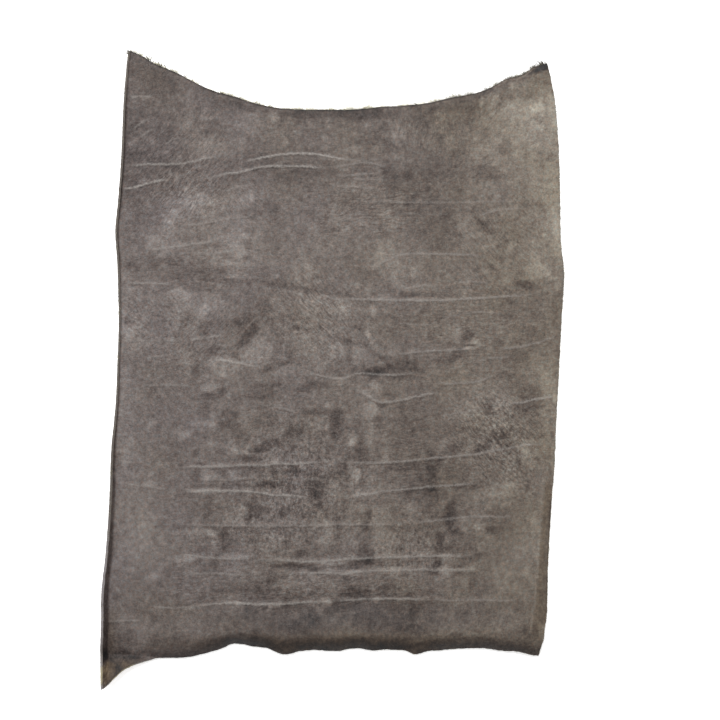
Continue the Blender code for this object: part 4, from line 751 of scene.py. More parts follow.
# Soft ridges and troughs, each with its height (below 0 in a trough), half width and points.
CREASES = (
    (-0.9, 4.4, ((209, 224), (227, 209), (249, 193))),
    (-0.7, 3.7, ((230, 224), (236, 217), (245, 209))),
    (-0.8, 6.7, ((-69, 129), (-91, 104), (-103, 77), (-115, 58), (-127, 40), (-141, 20))),
    (-0.6, 5.9, ((-121, 79), (-136, 71), (-149, 61))),
    (-0.7, 5.9, ((-119, 129), (-69, 123), (-17, 113))),
    (-0.8, 5.2, ((-100, -8), (-84, 0), (-53, 11))),
    (-0.8, 7.4, ((51, -11), (79, -3), (109, 6), (138, 9))),
    (-0.7, 4.4, ((178, 9), (187, 23), (199, 40), (208, 58))),
    (-0.6, 5.9, ((-187, -42), (-168, -37), (-153, -28))),
    (-0.7, 5.9, ((9, -60), (12, -85), (8, -111))),
    (-0.7, 5.9, ((54, -211), (57, -241), (51, -270), (60, -294))),
    (-0.8, 5.9, ((174, -193), (172, -226), (160, -256), (156, -294))),
    (-0.6, 5.2, ((-165, -235), (-162, -259), (-168, -285))),
    (-0.6, 5.2, ((-183, -193), (-183, -226))),
    (-0.7, 4.4, ((-162, -146), (-152, -162), (-141, -182))),
    (-0.8, 4.4, ((-109, -293), (-69, -294), (-23, -297))),
    (-0.5, 4.4, ((-20, -297), (20, -293), (60, -287))),
    (-0.5, 5.9, ((-10, -368), (15, -358), (45, -347))),
    (-0.5, 5.2, ((227, -48), (234, -60), (245, -72))),
    (-0.6, 5.2, ((-23, -152), (-20, -176), (-8, -199))),
    (0.7, 4.6, ((-235, -147), (-146, -144), (-78, -141), (-2, -138))),
    (0.7, 4.6, ((-223, -181), (-159, -181), (-113, -182), (-26, -193))),
    (0.6, 4.6, ((15, -191), (94, -176), (184, -170))),
    (0.7, 4.6, ((-227, -276), (-118, -281), (-32, -286), (41, -281), (115, -279), (226, -277))),
    (0.6, 3.7, ((-65, -301), (46, -299), (109, -298), (217, -298))),
    (0.8, 4.6, ((-205, -353), (-141, -347), (-90, -350), (-2, -344), (64, -341), (144, -342),
        (279, -344))),
    (0.5, 4.6, ((-235, -231), (-65, -233), (115, -230), (276, -219))),
    (0.6, 4.6, ((35, -28), (73, -49), (163, -34))),
    (0.5, 5.5, ((-309, 266), (-242, 281))),
    (0.5, 4.6, ((-187, 281), (-131, 291), (-41, 306), (35, 306))),
    (0.5, 4.6, ((-5, 103), (147, 100), (307, 111))),
    (0.6, 4.6, ((-177, 13), (-109, 3))),
    (-0.5, 8.9, ((-307, 134), (-239, 131))),
)

# The leather's hue goes from violet grey at the left to olive grey at the right.
WARMTH_ACROSS = table("x warmth", ((-300, 0), (0, 0.36), (170, 0.65), (340, 1.1)))

# The tables below share their columns: x, y, half length, half width, degrees, strength.
# Where the leather is more olive still:
WARM_PLACES = (
    (-260, 430, 90, 50, -35, 0.3),
    (-90, 365, 60, 40, 0, 0.3),
    (210, 370, 110, 70, 0, 0.35),
    (175, -20, 50, 45, 0, 0.25),
    (270, 150, 60, 150, 0, 0.15),
    (-250, -380, 110, 50, 0, 0.3),
    (60, -405, 330, 30, 0, 0.6),
)
# Where warm light bounced onto the curled lower left corner and the lower edge, painted as brown:
BOUNCE_PLACES = (
    (-318, -448, 70, 26, 8, 1.5),
    (-326, -400, 12, 60, 0, 0.5),
    (0, -410, 350, 24, 0, 0.8),
)
# Where the cut face is painted paler, as lit where it turns towards the lamp:
LIT_CUTS = (
    (-340, -320, 40, 130, 0, 1.4),
    (-330, -455, 70, 40, 10, 1.6),
    (-260, -435, 60, 20, 0, 0.8),
    (330, 50, 60, 560, 0, 0.7),
)
# Where the grain is rougher than usual, or smoother with a strength below 0:
COARSE = (
    (-287, -270, 90, 170, 0, -1.0),
    (270, -290, 60, 140, 0, -0.8),
    (0, -380, 360, 50, 0, -0.45),
    (-230, 30, 110, 110, 0, 0.55),
    (250, -90, 100, 100, -40, 1.1),
    (-30, -165, 170, 150, 0, 0.5),
    (-30, 35, 110, 90, 0, 0.35),
    (-195, 250, 90, 80, 20, 0.5),
    (210, 320, 50, 50, 0, 0.3),
)
# Where each kind of fine texture lies:
TEXTURE_PLACES = {
    "mottled": (  # dark blotches that lie close together
        (-50, -170, 150, 190, 0, 1.0),
        (120, -260, 110, 90, 0, 0.8),
        (-150, -250, 100, 80, 0, 0.6),
        (-40, 60, 150, 110, 0, 0.5),
        (0, -330, 230, 40, 0, 0.5),
    ),
    "pebbled": (  # grain that is raised in pebbles
        (245, -95, 95, 55, -52, 1.0),
        (275, -160, 60, 40, -55, 0.8),
        (-290, 75, 34, 70, 0, 0.6),
        (-240, 80, 40, 40, 0, 0.5),
        (-80, -250, 50, 26, 0, 0.7),
        (15, -280, 50, 22, 0, 0.5),
        (175, 45, 40, 24, 40, 0.5),
    ),
    "rising": (  # fine strokes that run up to the right
        (-230, 290, 150, 130, 35, 1.0),
        (-160, 60, 110, 90, 40, 0.7),
        (40, 250, 110, 60, 20, 0.5),
        (240, 380, 60, 50, 0, 0.6),
    ),
    "falling": (  # fine strokes that run down to the right
        (-10, 90, 150, 110, -40, 0.9),
        (250, 190, 110, 150, -50, 0.7),
        (240, -110, 120, 110, -50, 0.9),
        (-130, 250, 60, 60, 0, 0.5),
        (-240, -60, 60, 90, 0, 0.4),
    ),
    "level": (  # level strokes
        (60, 240, 190, 90, 0, 1.0),
        (200, 60, 190, 120, 4, 0.8),
        (-20, -330, 330, 80, 0, 0.9),
        (-180, 150, 170, 70, 5, 0.7),
        (120, -140, 150, 130, 8, 0.7),
        (-250, -250, 90, 150, 0, 0.7),
        (280, -300, 60, 120, 0, 0.7),
    ),
    "steep": (  # steep strokes
        (140, 350, 90, 50, 0, 0.9),
        (-60, -180, 130, 130, 0, 0.5),
        (120, -270, 110, 60, 0, 0.6),
        (60, -370, 200, 40, 0, 0.4),
        (-200, 380, 90, 50, 0, 0.4),
    ),
}
STROKE_DEGREES = {"rising": 48, "falling": -46, "level": 3, "steep": 82}  # anticlockwise from +X


# ---- Shape functions ---------------------------------------------------------------------------

LEAST_REACH = 1e-6  # stands for no bend at all, where a slope is 0
WAVE_CELLS = 128  # the waves repeat after so many humps


def along(knots, values, at):
    """The values at `at`, on a smooth curve through a table's rows that never overshoots them."""
    rises = np.diff(values) / np.diff(knots)
    before, after = rises[:-1], rises[1:]
    same_way = before * after > 0
    inner = np.divide(2 * before * after, before + after, where=same_way, out=np.zeros(len(after)))
    slopes = np.concatenate([rises[:1], inner, rises[-1:]])
    row = np.clip(np.searchsorted(knots, at) - 1, 0, len(rises) - 1)
    span = knots[row + 1] - knots[row]
    t = np.clip((at - knots[row]) / span, 0, 1)
    start = (1 + 2 * t) * values[row] + t * span * slopes[row]
    end = (3 - 2 * t) * values[row + 1] + (t - 1) * span * slopes[row + 1]
    return start * (1 - t) ** 2 + end * t ** 2


def ramp(start, end, at):
    """0 before start and 1 past end, with a smooth rise between."""
    t = np.clip((at - start) / (end - start), 0, 1)
    return t * t * (3 - 2 * t)


def turned_up(past, slope):
    """Height of leather that turns up to a slope at a fold line, `past` the line."""
    reach = np.maximum(slope * TIGHTEST_BEND / 2, LEAST_REACH)
    bend = slope * (past + reach) ** 2 / (4 * reach)
    return np.where(past < -reach, 0, np.where(past > reach, slope * past, bend))


def rolled_down(distance, height, crest, run):
    """Height of a ridge that stands `crest` in from its foot and fades over `run` inside it."""
    outer = np.sin(math.pi / 2 * np.clip(distance / crest, 0, 1))
    inner = np.cos(math.pi / 2 * np.clip((distance - crest) / run, 0, 1)) ** 2
    return height * np.where(distance < crest, outer, inner)


def overhang(height, crest):
    """How far the grain reaches past the underside at the foot of a ridge that rolls down."""
    return THICKNESS * np.sin(np.arctan(math.pi / 2 * height / crest))


def lip_at(y):
    """The width of the lip's flank, and its slope."""
    flank = along(LEFT_LIP["y"], LEFT_LIP["flank"], y)
    return flank, np.tan(np.radians(along(LEFT_LIP["y"], LEFT_LIP["degrees"], y)))


def ridge_at(rows, knots, at):
    """A ridge's height, its crest's distance from the foot, and the run inside the crest."""
    return [along(rows[knots], rows[column], at) for column in ("height", "crest", "run")]


def corner_share(x):
    """1 where the lower left corner curls fully, 0 right of it."""
    return ramp(CORNER_CURLS_FROM, CORNER_CURLS_FULLY, x)


def left_x(y):
    return along(LEFT_SIDE["y"], LEFT_SIDE["x"], y)


def right_x(y):
    height, crest, _ = ridge_at(RIGHT_RIDGE, "y", y)
    worn = WORN_CORNER * ramp(WORN_CORNER_FROM, WORN_CORNER_FULLY, y)
    return along(RIGHT_SIDE["y"], RIGHT_SIDE["x"], y) - overhang(height, crest) - worn


def upper_y(x):
    height, crest, _ = ridge_at(UPPER_RIDGE, "x", x)
    inset = UPPER_INSET * ramp(*UPPER_INSET_LEFT, x) * ramp(*UPPER_INSET_RIGHT, x)
    return along(UPPER_SIDE["x"], UPPER_SIDE["y"], x) - overhang(height, crest) - inset


def lower_y(x):
    height, crest, _ = ridge_at(LOWER_RIPPLE, "x", x)
    tucked = overhang(height, crest) * (1 - corner_share(x))
    stray = along(LOWER_STRAY["x"], LOWER_STRAY["inwards"], x)
    return along(LOWER_SIDE["x"], LOWER_SIDE["y"], x) + tucked + stray


def foot_y(x):
    """The line that the lower ripple drops to: the lower edge, or the corner's crease."""
    start_x, start_y = CORNER_CREASE_START
    crease = start_y - CORNER_CREASE_FALL * (x - start_x)
    return np.maximum(lower_y(x), crease)


def patches(rows, x, y, flatness=1):
    """The sum of soft ellipses, each strongest in its middle and gone at its rim."""
    total = np.zeros_like(x)
    for middle_x, middle_y, half_length, half_width, degrees, strength in rows:
        turn = math.radians(degrees)
        lengthwise = (x - middle_x) * math.cos(turn) + (y - middle_y) * math.sin(turn)
        across = (y - middle_y) * math.cos(turn) - (x - middle_x) * math.sin(turn)
        out = (lengthwise / half_length) ** 2 + (across / half_width) ** 2
        total += strength * (1 - np.clip(out, 0, 1) ** flatness) ** 2
    return total


def underside_height(x, y):
    """Height of the underside over the floor: 0 wherever the hide lies flat."""
    flank, lip_slope = lip_at(y)
    height = turned_up(flank - (x - left_x(y)), lip_slope)
    corner_slope = math.tan(math.radians(CORNER_DEGREES)) * corner_share(x)
    height += turned_up(foot_y(x) - y, corner_slope)
    height += rolled_down(np.maximum(y - foot_y(x), 0), *ridge_at(LOWER_RIPPLE, "x", x))
    height += rolled_down(right_x(y) - x, *ridge_at(RIGHT_RIDGE, "y", y))
    height += rolled_down(upper_y(x) - y, *ridge_at(UPPER_RIDGE, "x", x))
    return height + patches(SWELLS, x, y)


def plan_of(across, along_side):
    """Plan positions inside the four sides, for a grid of shares across and along the hide."""
    lower_x = np.interp(across, (0, 1), LOWER_SIDE["x"][[0, -1]])
    upper_x = np.interp(across, (0, 1), UPPER_SIDE["x"][[0, -1]])
    left_y = np.interp(along_side, (0, 1), LEFT_SIDE["y"][[0, -1]])
    right_y = np.interp(along_side, (0, 1), RIGHT_SIDE["y"][[0, -1]])
    lower = np.stack([lower_x, lower_y(lower_x)], axis=1)
    upper = np.stack([upper_x, upper_y(upper_x)], axis=1)
    left = np.stack([left_x(left_y), left_y], axis=1)
    right = np.stack([right_x(right_y), right_y], axis=1)
    u = across[None, :, None]
    v = along_side[:, None, None]
    between_ends = (1 - v) * lower[None] + v * upper[None]
    between_sides = (1 - u) * left[:, None] + u * right[:, None]
    lower_corners = (1 - u) * (lower[0] + left[0]) / 2 + u * (lower[-1] + right[0]) / 2
    upper_corners = (1 - u) * (upper[0] + left[-1]) / 2 + u * (upper[-1] + right[-1]) / 2
    return between_ends + between_sides - (1 - v) * lower_corners - v * upper_corners


def fine_stations(length, steps, spacing):
    """Places along a side, as shares of it: close near both ends, and evenly between."""
    near = np.concatenate([[0], np.cumsum(steps)])
    spans = round((length - 2 * near[-1]) / spacing)
    between = np.linspace(near[-1], length - near[-1], spans + 1)[1:-1]
    return np.concatenate([near, between, length - near[::-1]]) / length


def waves(x, y, size, seed):
    """A smooth random field between -1 and 1, whose humps are about `size` across."""
    lattice = np.random.default_rng(seed).uniform(-1, 1, (WAVE_CELLS, WAVE_CELLS))
    column, row = x / size + WAVE_CELLS / 2, y / size + WAVE_CELLS / 2
    i, j = np.floor(column).astype(int), np.floor(row).astype(int)
    s, t = ramp(0, 1, column - i), ramp(0, 1, row - j)
    i, j = i % WAVE_CELLS, j % WAVE_CELLS
    next_i, next_j = (i + 1) % WAVE_CELLS, (j + 1) % WAVE_CELLS
    lower = lattice[j, i] * (1 - s) + lattice[j, next_i] * s
    upper = lattice[next_j, i] * (1 - s) + lattice[next_j, next_i] * s
    return lower * (1 - t) + upper * t


def summed_waves(rows, x, y):
    """Several such fields together, from a table of heights, sizes and seeds."""
    return sum(height * waves(x, y, size, seed) for height, size, seed in rows)


# ---- Marks and creases as fields over the hide --------------------------------------------------

PATH_STEP = 4.0
PATH_WOBBLES = ((0.8, 11, 3),)  # height, size, seed
CREASE_REACH = 3  # a crease ends so many half widths from its path
CREASE_FADE = 0.25  # the share of a crease's path over which each end fades out
MARK_FADE = 0.16
MARK_REACH = 5.0  # a mark's own strip ends this far from it
MARK_GAP = 2 * MARK_REACH  # marks nearer than this lie in different layers
MARK_LAYERS = 3
MARK_WELT = (0.35, 0.4, 1.9)  # height, how far it lies above the mark's path, half width
MARK_FURROW = (-0.28, -2.6, 1.7)


def smooth_path(points):
    """Points every few millimetres along a smooth curve through the given ones."""
    knots = np.array(points, float)
    ends = np.vstack([2 * knots[0] - knots[1], knots, 2 * knots[-1] - knots[-2]])
    path = []
    for before, start, end, after in zip(ends, ends[1:], ends[2:], ends[3:]):
        steps = max(2, round(math.dist(start, end) / PATH_STEP))
        t = np.arange(steps)[:, None] / steps
        bend = (2 * before - 5 * start + 4 * end - after) * t ** 2
        twist = (3 * start - before - 3 * end + after) * t ** 3
        path.append((2 * start + (end - before) * t + bend + twist) / 2)
    path = np.vstack([*path, knots[-1:]])
    path[:, 1] += summed_waves(PATH_WOBBLES, path[:, 0], path[:, 1])
    return path


def beside(path, x, y, reach):
    """For each point within reach of a path: which it is, its distance, signed, and its share."""
    low, high = path.min(axis=0) - reach, path.max(axis=0) + reach
    near = np.nonzero((x > low[0]) & (x < high[0]) & (y > low[1]) & (y < high[1]))[0]
    px, py = x[near], y[near]
    nearest = np.full(len(near), np.inf)
    signed = np.zeros(len(near))
    share = np.zeros(len(near))
    for i, (start, end) in enumerate(zip(path, path[1:])):
        length = math.dist(start, end)
        ux, uy = (end - start) / length
        dx, dy = px - start[0], py - start[1]
        t = np.clip(dx * ux + dy * uy, 0, length)
        distance = np.hypot(dx - t * ux, dy - t * uy)
        closer = distance < nearest
        nearest = np.where(closer, distance, nearest)
        signed = np.where(closer, distance * np.where(ux * dy < uy * dx, -1, 1), signed)
        share = np.where(closer, (i + t / length) / (len(path) - 1), share)
    kept = nearest < reach
    return near[kept], signed[kept], share[kept]


def fading_ends(share, fade):
    """1 along a path, falling to 0 at both of its ends."""
    return ramp(0, fade, share) * ramp(1, 1 - fade, share)


def crease_relief(x, y):
    """Height that the ridges and troughs add to the grain."""
    height = np.zeros_like(x)
    for rise, half_width, points in CREASES:
        near, signed, share = beside(smooth_path(points), x, y, CREASE_REACH * half_width)
        across = np.exp(-(signed / half_width) ** 2) - math.exp(-CREASE_REACH ** 2)
        height[near] += rise * across * fading_ends(share, CREASE_FADE)
    return height


def least_gap(path, layer):
    """The least distance between a path and the marks of a layer."""
    gaps = [np.min(np.linalg.norm(path[:, None] - other[None], axis=2)) for _, other in layer]
    return min(gaps, default=math.inf)


def layered_marks():
    """The growth marks' paths in layers, in each of which they keep their distance."""
    layers = [[] for _ in range(MARK_LAYERS)]
    for strength, points in sorted(GROWTH_MARKS, key=lambda mark: -mark[0]):
        path = smooth_path(points)
        gaps = [least_gap(path, layer) for layer in layers]
        roomy = [i for i, gap in enumerate(gaps) if gap >= MARK_GAP]
        layers[roomy[0] if roomy else int(np.argmax(gaps))].append((strength, path))
    return layers


def mark_fields(x, y):
    """Each layer's distance from its nearest mark, and that mark's strength, at every point."""
    offset = np.full((len(x), MARK_LAYERS), float(MARK_GAP))
    strength = np.zeros((len(x), MARK_LAYERS))
    for layer, marks in enumerate(layered_marks()):
        for mark_strength, path in marks:
            near, signed, share = beside(path, x, y, MARK_GAP)
            closer = np.abs(signed) < np.abs(offset[near, layer])
            own, signed, share = near[closer], signed[closer], share[closer]
            inside = np.clip(1 - (signed / MARK_REACH) ** 2, 0, 1)
            offset[own, layer] = signed
            strength[own, layer] = mark_strength * inside * fading_ends(share, MARK_FADE)
    return offset, strength


def mark_relief(offset, strength):
    """The marks as low welts, with a shallow furrow along each one's lower side."""
    height = 0
    for rise, middle, half_width in (MARK_WELT, MARK_FURROW):
        height = height + rise * np.exp(-((offset - middle) / half_width) ** 2)
    return (height * strength).sum(axis=1)


# ---- The hide's mesh ----------------------------------------------------------------------------

# A tone was read over the whole of a stain or zone, and its ellipse is fainter towards the rim, so
# its middle is this much deeper. The flatness says how far out from the middle it stays so.
STAIN_DEPTH, STAIN_FLATNESS = 1.58, 4
ZONE_DEPTH, ZONE_FLATNESS = 1.3, 2
PER_CENT = 100
LEAST_STROKED = 0.3  # level strokes make this up, where a place has too few of its own
# Ridges painted lighter and troughs painted in shade, by their height:
CREASE_PAINTED_LIGHT_AND_SHADE = 0.07  # for each millimetre of a ridge's height
TONE_WARPS_X = ((1.6, 34, 11), (1.8, 12, 12))  # height, size, seed of waves that sway the chart
TONE_WARPS_Y = ((1.4, 30, 13), (1.6, 10, 14))
LEAST_COARSE, MOST_COARSE = 0.2, 2.2
RELIEF_WAVES = ((0.22, 46, 21), (0.12, 19, 22))  # low humps all over the grain
PEBBLED_WAVES = ((0.16, 7, 23),)
MOTTLED_WAVES = ((0.10, 9, 24),)

# Painted shade on the lip's fold and on slopes down to the lower edge. A slope is the share of
# the normal that leans sideways, or downwards: where the painted shade begins, and where it is full.
FOLD_PAINTED_SHADE = -0.31
FOLD_SLOPES = (0.58, 0.82)
SHARP_FOLD_PAINTED_SHADE = -0.24  # more, where the lip is narrow and its fold sharp
SHARP_FOLD_FOOT = (-150, -60)  # along the hide, where this comes in and goes out
SHARP_FOLD_TOP = (340, 270)
FLANK_PAINTED_SHADE = -0.30
FLANK_SLOPES = (0.08, 0.6)

# The brown strip down the right side: its width, how soft its inside is, and from where to where
# along the hide it comes in and goes out.
STRIP_WIDTHS = table("y width", (
    (-400, 21), (-344, 19.5), (-314, 17.4), (-285, 16.5), (-255, 15.4), (-226, 14.6),
    (-196, 13.4), (-140, 13.0),
))
STRIP_SOFTNESS = 1.4
STRIP_TOP = (-145, -185)
STRIP_FOOT = (-408, -380)
STRIP_TONE = 0.02
STRIP_BROWNNESS = 0.55
# A painted highlight, with wear, along the ridge inside the strip:
STRIP_RIDGE_HIGHLIGHT_AND_WEAR = 0.13
STRIP_RIDGE_INSIDE = 1.5  # how far in from the strip the ridge lies, in units of the softness

# The dark along the cut: side, tone at the edge, how far in it reaches.
EDGE_TONES = (
    # Painted shade where the ripple rolls down to the lower edge:
    ("lower", -0.20, 14.0),
    ("upper", -0.45, 1.9),
    ("upper", -0.13, 20.0),
)
BEND_SMOOTHING = 4  # times that the thickness's direction is evened out between neighbours

# The cut face has three rings of points between grain and flesh.
RIM_DEPTHS = (0.10, 0.5, 0.92)  # as shares of the thickness
LEVEL_DEPTHS = (0, *RIM_DEPTHS, 1)
RIM_BULGES = (0.30, 0.12, 0.10)
RIM_WAVES = ((0.28, 2.2, 41), (0.28, 2.2, 42), (0.28, 2.2, 43))
EDGE_WAVES = ((0.30, 5, 31), (0.30, 2.4, 32))
FLESH_SHARE_OF_WAVES = 0.6
GRAIN_SLOT, CUT_SLOT, FLESH_SLOT = 0, 1, 2


def unit(vectors):
    return vectors / np.linalg.norm(vectors, axis=-1, keepdims=True)


def evened(vectors, times):
    """A grid of directions, evened out with their neighbours, so that no bend folds over."""
    for axis in (0, 1) * times:
        before = np.roll(vectors, 1, axis)
        after = np.roll(vectors, -1, axis)
        mean = (before + 2 * vectors + after) / 4
        ends = [slice(None)] * 3
        for end in (0, -1):
            ends[axis] = end
            mean[tuple(ends)] = vectors[tuple(ends)]
        vectors = mean
    return unit(vectors)


def ring_of(rows, columns):
    """Grid places once round the outside, anticlockwise from the lower left corner."""
    lower = [(0, c) for c in range(columns - 1)]
    right = [(r, columns - 1) for r in range(rows - 1)]
    upper = [(rows - 1, c) for c in range(columns - 1, 0, -1)]
    left = [(r, 0) for r in range(rows - 1, 0, -1)]
    return np.array(lower + right + upper + left)


def kept_lines(count, first_margin):
    """Lines of the fine grid that the flesh side keeps."""
    middle = list(range(first_margin, count - FLESH_MARGIN, FLESH_EVERY))
    return list(range(first_margin)) + middle + list(range(count - FLESH_MARGIN, count))


def cell_ring(row, next_row, column, next_column, rows, columns):
    """A flesh cell's grid places, clockwise, with all of the rim's points where it meets it."""
    def line(start, end, fine):
        step = 1 if end > start else -1
        return range(start, end, step) if fine else (start,)

    up = [(r, column) for r in line(row, next_row, column == 0)]
    right = [(next_row, c) for c in line(column, next_column, next_row == rows - 1)]
    down = [(r, next_column) for r in line(next_row, row, next_column == columns - 1)]
    left = [(row, c) for c in line(next_column, column, row == 0)]
    return up + right + down + left


def flat_lengths(surface):
    """Coordinates along the leather itself, so that patterns don't stretch where it bends."""
    rows, columns = surface.shape[:2]
    across = np.linalg.norm(np.diff(surface, axis=1), axis=2)
    upwards = np.linalg.norm(np.diff(surface, axis=0), axis=2)
    x = np.concatenate([np.zeros((rows, 1)), np.cumsum(across, axis=1)], axis=1)
    y = np.concatenate([np.zeros((1, columns)), np.cumsum(upwards, axis=0)], axis=0)
    x += (surface[:, columns // 2, 0] - x[:, columns // 2])[:, None]
    y += (surface[rows // 2, :, 1] - y[rows // 2, :])[None, :]
    return np.dstack([x, y])


def texture_masks(x, y):
    """How strongly each kind of fine texture lies at each place, 0 to 1."""
    found = {name: np.clip(patches(rows, x, y), 0, 1) for name, rows in TEXTURE_PLACES.items()}
    stroked = sum(found[name] for name in STROKE_DEGREES)
    found["level"] += np.clip(LEAST_STROKED - stroked, 0, None)
    return found


class Hide:
    """The hide's points, faces and fields, gathered before they become a mesh."""

    def __init__(self):
        width = RIGHT_SIDE["x"].mean() - LEFT_SIDE["x"].mean()
        length = UPPER_SIDE["y"].mean() - LOWER_SIDE["y"].mean()
        across = fine_stations(width, COLUMN_STEPS, OPEN_COLUMN)
        along_side = fine_stations(length, ROW_STEPS, OPEN_ROW)
        plan = plan_of(across, along_side)
        self.rows, self.columns = plan.shape[:2]
        self.ring = ring_of(self.rows, self.columns)
        self.flesh = np.dstack([plan, underside_height(plan[..., 0], plan[..., 1])])
        up = np.cross(np.gradient(self.flesh, axis=1), np.gradient(self.flesh, axis=0))
        self.normal = evened(unit(up), BEND_SMOOTHING)
        smooth = self.flesh + THICKNESS * self.normal
        self.flat = flat_lengths(smooth)
        self.read_fields(*smooth[..., :2].reshape(-1, 2).T)
        self.grain = smooth + self.normal * self.relief[..., None]
        self.outward = self.ring_outward()
        self.roughen_edge()

    def read_fields(self, x, y):
        """Everything that depends on the place on the hide, read from above as it was charted."""
        shape = self.flat.shape[:2]
        warped_x = x + summed_waves(TONE_WARPS_X, x, y)
        warped_y = y + summed_waves(TONE_WARPS_Y, x, y)
        stains = STAIN_DEPTH * patches(STAINS, warped_x, warped_y, STAIN_FLATNESS)
        zones = ZONE_DEPTH * patches(ZONES, warped_x, warped_y, ZONE_FLATNESS)
        creases = crease_relief(x, y)
        masks = texture_masks(warped_x, warped_y)
        masks["coarse"] = np.clip(1 + patches(COARSE, x, y), LEAST_COARSE, MOST_COARSE)
        self.masks = {name: values.reshape(shape) for name, values in masks.items()}
        strip, ridge = self.right_strip()
        self.tone = ((stains + zones) / PER_CENT + CREASE_PAINTED_LIGHT_AND_SHADE * creases).reshape(shape)
        # Painted shade on the lip's fold, the slopes and the lower edge, darkening along the upper
        # cut, and a painted highlight with wear on the right strip's ridge.
        self.shade = self.edge_shade() + STRIP_TONE * strip + STRIP_RIDGE_HIGHLIGHT_AND_WEAR * ridge
        warmth = along(WARMTH_ACROSS["x"], WARMTH_ACROSS["warmth"], x)
        self.warmth = (warmth + patches(WARM_PLACES, x, y)).reshape(shape)
        brown_and_bounce = patches(BOUNCE_PLACES, x, y).reshape(shape) + STRIP_BROWNNESS * strip
        self.brown_and_bounce = np.clip(brown_and_bounce, 0, 1)
        self.lit_cut = np.clip(patches(LIT_CUTS, x, y), 0, 1).reshape(shape)
        offset, strength = mark_fields(x, y)
        self.mark_offset = offset.reshape(*shape, MARK_LAYERS)
        self.mark_strength = strength.reshape(*shape, MARK_LAYERS)
        relief = mark_relief(offset, strength) + creases + summed_waves(RELIEF_WAVES, x, y)
        relief += summed_waves(PEBBLED_WAVES, x, y) * masks["pebbled"]
        relief += summed_waves(MOTTLED_WAVES, x, y) * masks["mottled"]
        self.relief = relief.reshape(shape)

    def edge_shade(self):
        """Painted shade where leather slopes down to an edge or up a fold, and darkening along the
        cut itself.
        """
        sideways, downwards = self.normal[..., 0], -self.normal[..., 1]
        across, upwards = self.flat[..., 0], self.flat[..., 1]
        sharp = ramp(*SHARP_FOLD_FOOT, upwards) * ramp(*SHARP_FOLD_TOP, upwards)
        shade = (FOLD_PAINTED_SHADE + SHARP_FOLD_PAINTED_SHADE * sharp) * ramp(*FOLD_SLOPES, sideways)
        shade += FLANK_PAINTED_SHADE * ramp(*FLANK_SLOPES, downwards)
        insets = {
            "lower": upwards - upwards[:1],
            "upper": upwards[-1:] - upwards,
        }
        for name, tone, width in EDGE_TONES:
            shade += tone * np.exp(-(insets[name] / width) ** 2)
        return shade

    def right_strip(self):
        """The brown strip down the right edge's low half, and its inner ridge's painted highlight and
        wear.
        """
        across, upwards = self.flat[..., 0], self.flat[..., 1]
        run = ramp(*STRIP_TOP, upwards) * ramp(*STRIP_FOOT, upwards)
        width = along(STRIP_WIDTHS["y"], STRIP_WIDTHS["width"], upwards)
        inset = across[:, -1:] - across
        within = (width - inset) / STRIP_SOFTNESS
        ridge = np.exp(-((within + STRIP_RIDGE_INSIDE) ** 2))
        strip = ramp(-1, 1, within)
        return strip * run, ridge * run

    def at_ring(self, values):
        """A grid's values once round the outside."""
        return values[self.ring[:, 0], self.ring[:, 1]]

    def ring_steps(self):
        """The distance from each point of the ring to the next."""
        edge = self.at_ring(self.grain)
        return np.linalg.norm(np.roll(edge, -1, axis=0) - edge, axis=1)

    def ring_sides(self):
        """Where each side begins and ends in the ring: the lower, right, upper and left side."""
        lower, upright = self.columns - 1, self.rows - 1
        starts = [0, lower, lower + upright, 2 * lower + upright]
        return list(zip(starts, [*starts[1:], len(self.ring)]))

    def ring_outward(self):
        """Level directions out of the hide, one for each point of the ring."""
        edge = self.at_ring(self.grain)
        forward = np.roll(edge, -1, axis=0) - np.roll(edge, 1, axis=0)
        out = np.stack([forward[:, 1], -forward[:, 0], np.zeros(len(edge))], axis=1)
        return unit(out)

    def roughen_edge(self):
        """Moves the cut edge in and out a little, as a knife leaves it in thick leather."""
        rows, columns = self.ring.T
        moved = self.outward * summed_waves(EDGE_WAVES, *self.at_ring(self.flat).T)[:, None]
        self.grain[rows, columns] += moved
        self.flesh[rows, columns] += moved * FLESH_SHARE_OF_WAVES

    def rim_rings(self):
        """Rings of points down the cut face, from just under the grain to just over the flesh."""
        top, low = self.at_ring(self.grain), self.at_ring(self.flesh)
        rings = []
        for depth, bulge, rough in zip(RIM_DEPTHS, RIM_BULGES, RIM_WAVES):
            out = self.outward * (bulge + summed_waves([rough], top[:, 0], top[:, 1]))[:, None]
            rings.append(top + (low - top) * depth + out)
        return rings


def grid_quads(rows, columns):
    """Faces of the grain, looking up, over points numbered row by row."""
    first = (np.arange(rows - 1)[:, None] * columns + np.arange(columns - 1)[None]).ravel()
    return np.stack([first, first + 1, first + columns + 1, first + columns], axis=1)


# The bake's map: the grain fills the left of it from top to bottom, the flesh side lies at the
# lower right, and a strip for each side of the cut face stands above that.
BAKE_SCALE = 1 / 968
BAKE_CORNER = (352, 490)
FLESH_SCALE = 0.33 * BAKE_SCALE
FLESH_AT = (0.745, 0.01)
RIM_AT, RIM_PITCH, RIM_WIDTH, RIM_FOOT = 0.76, 0.045, 0.03, 0.01


def numbered_flesh(hide, start):
    """Numbers for the flesh side's points, -1 where it keeps none, and the lines that it keeps."""
    kept_rows = kept_lines(hide.rows, FLESH_LOWER_MARGIN)
    kept_columns = kept_lines(hide.columns, FLESH_MARGIN)
    needed = np.zeros((hide.rows, hide.columns), bool)
    needed[np.ix_(kept_rows, kept_columns)] = True
    needed[tuple(hide.ring.T)] = True
    numbers = np.full(needed.shape, -1)
    numbers[needed] = start + np.arange(needed.sum())
    return numbers, kept_rows, kept_columns


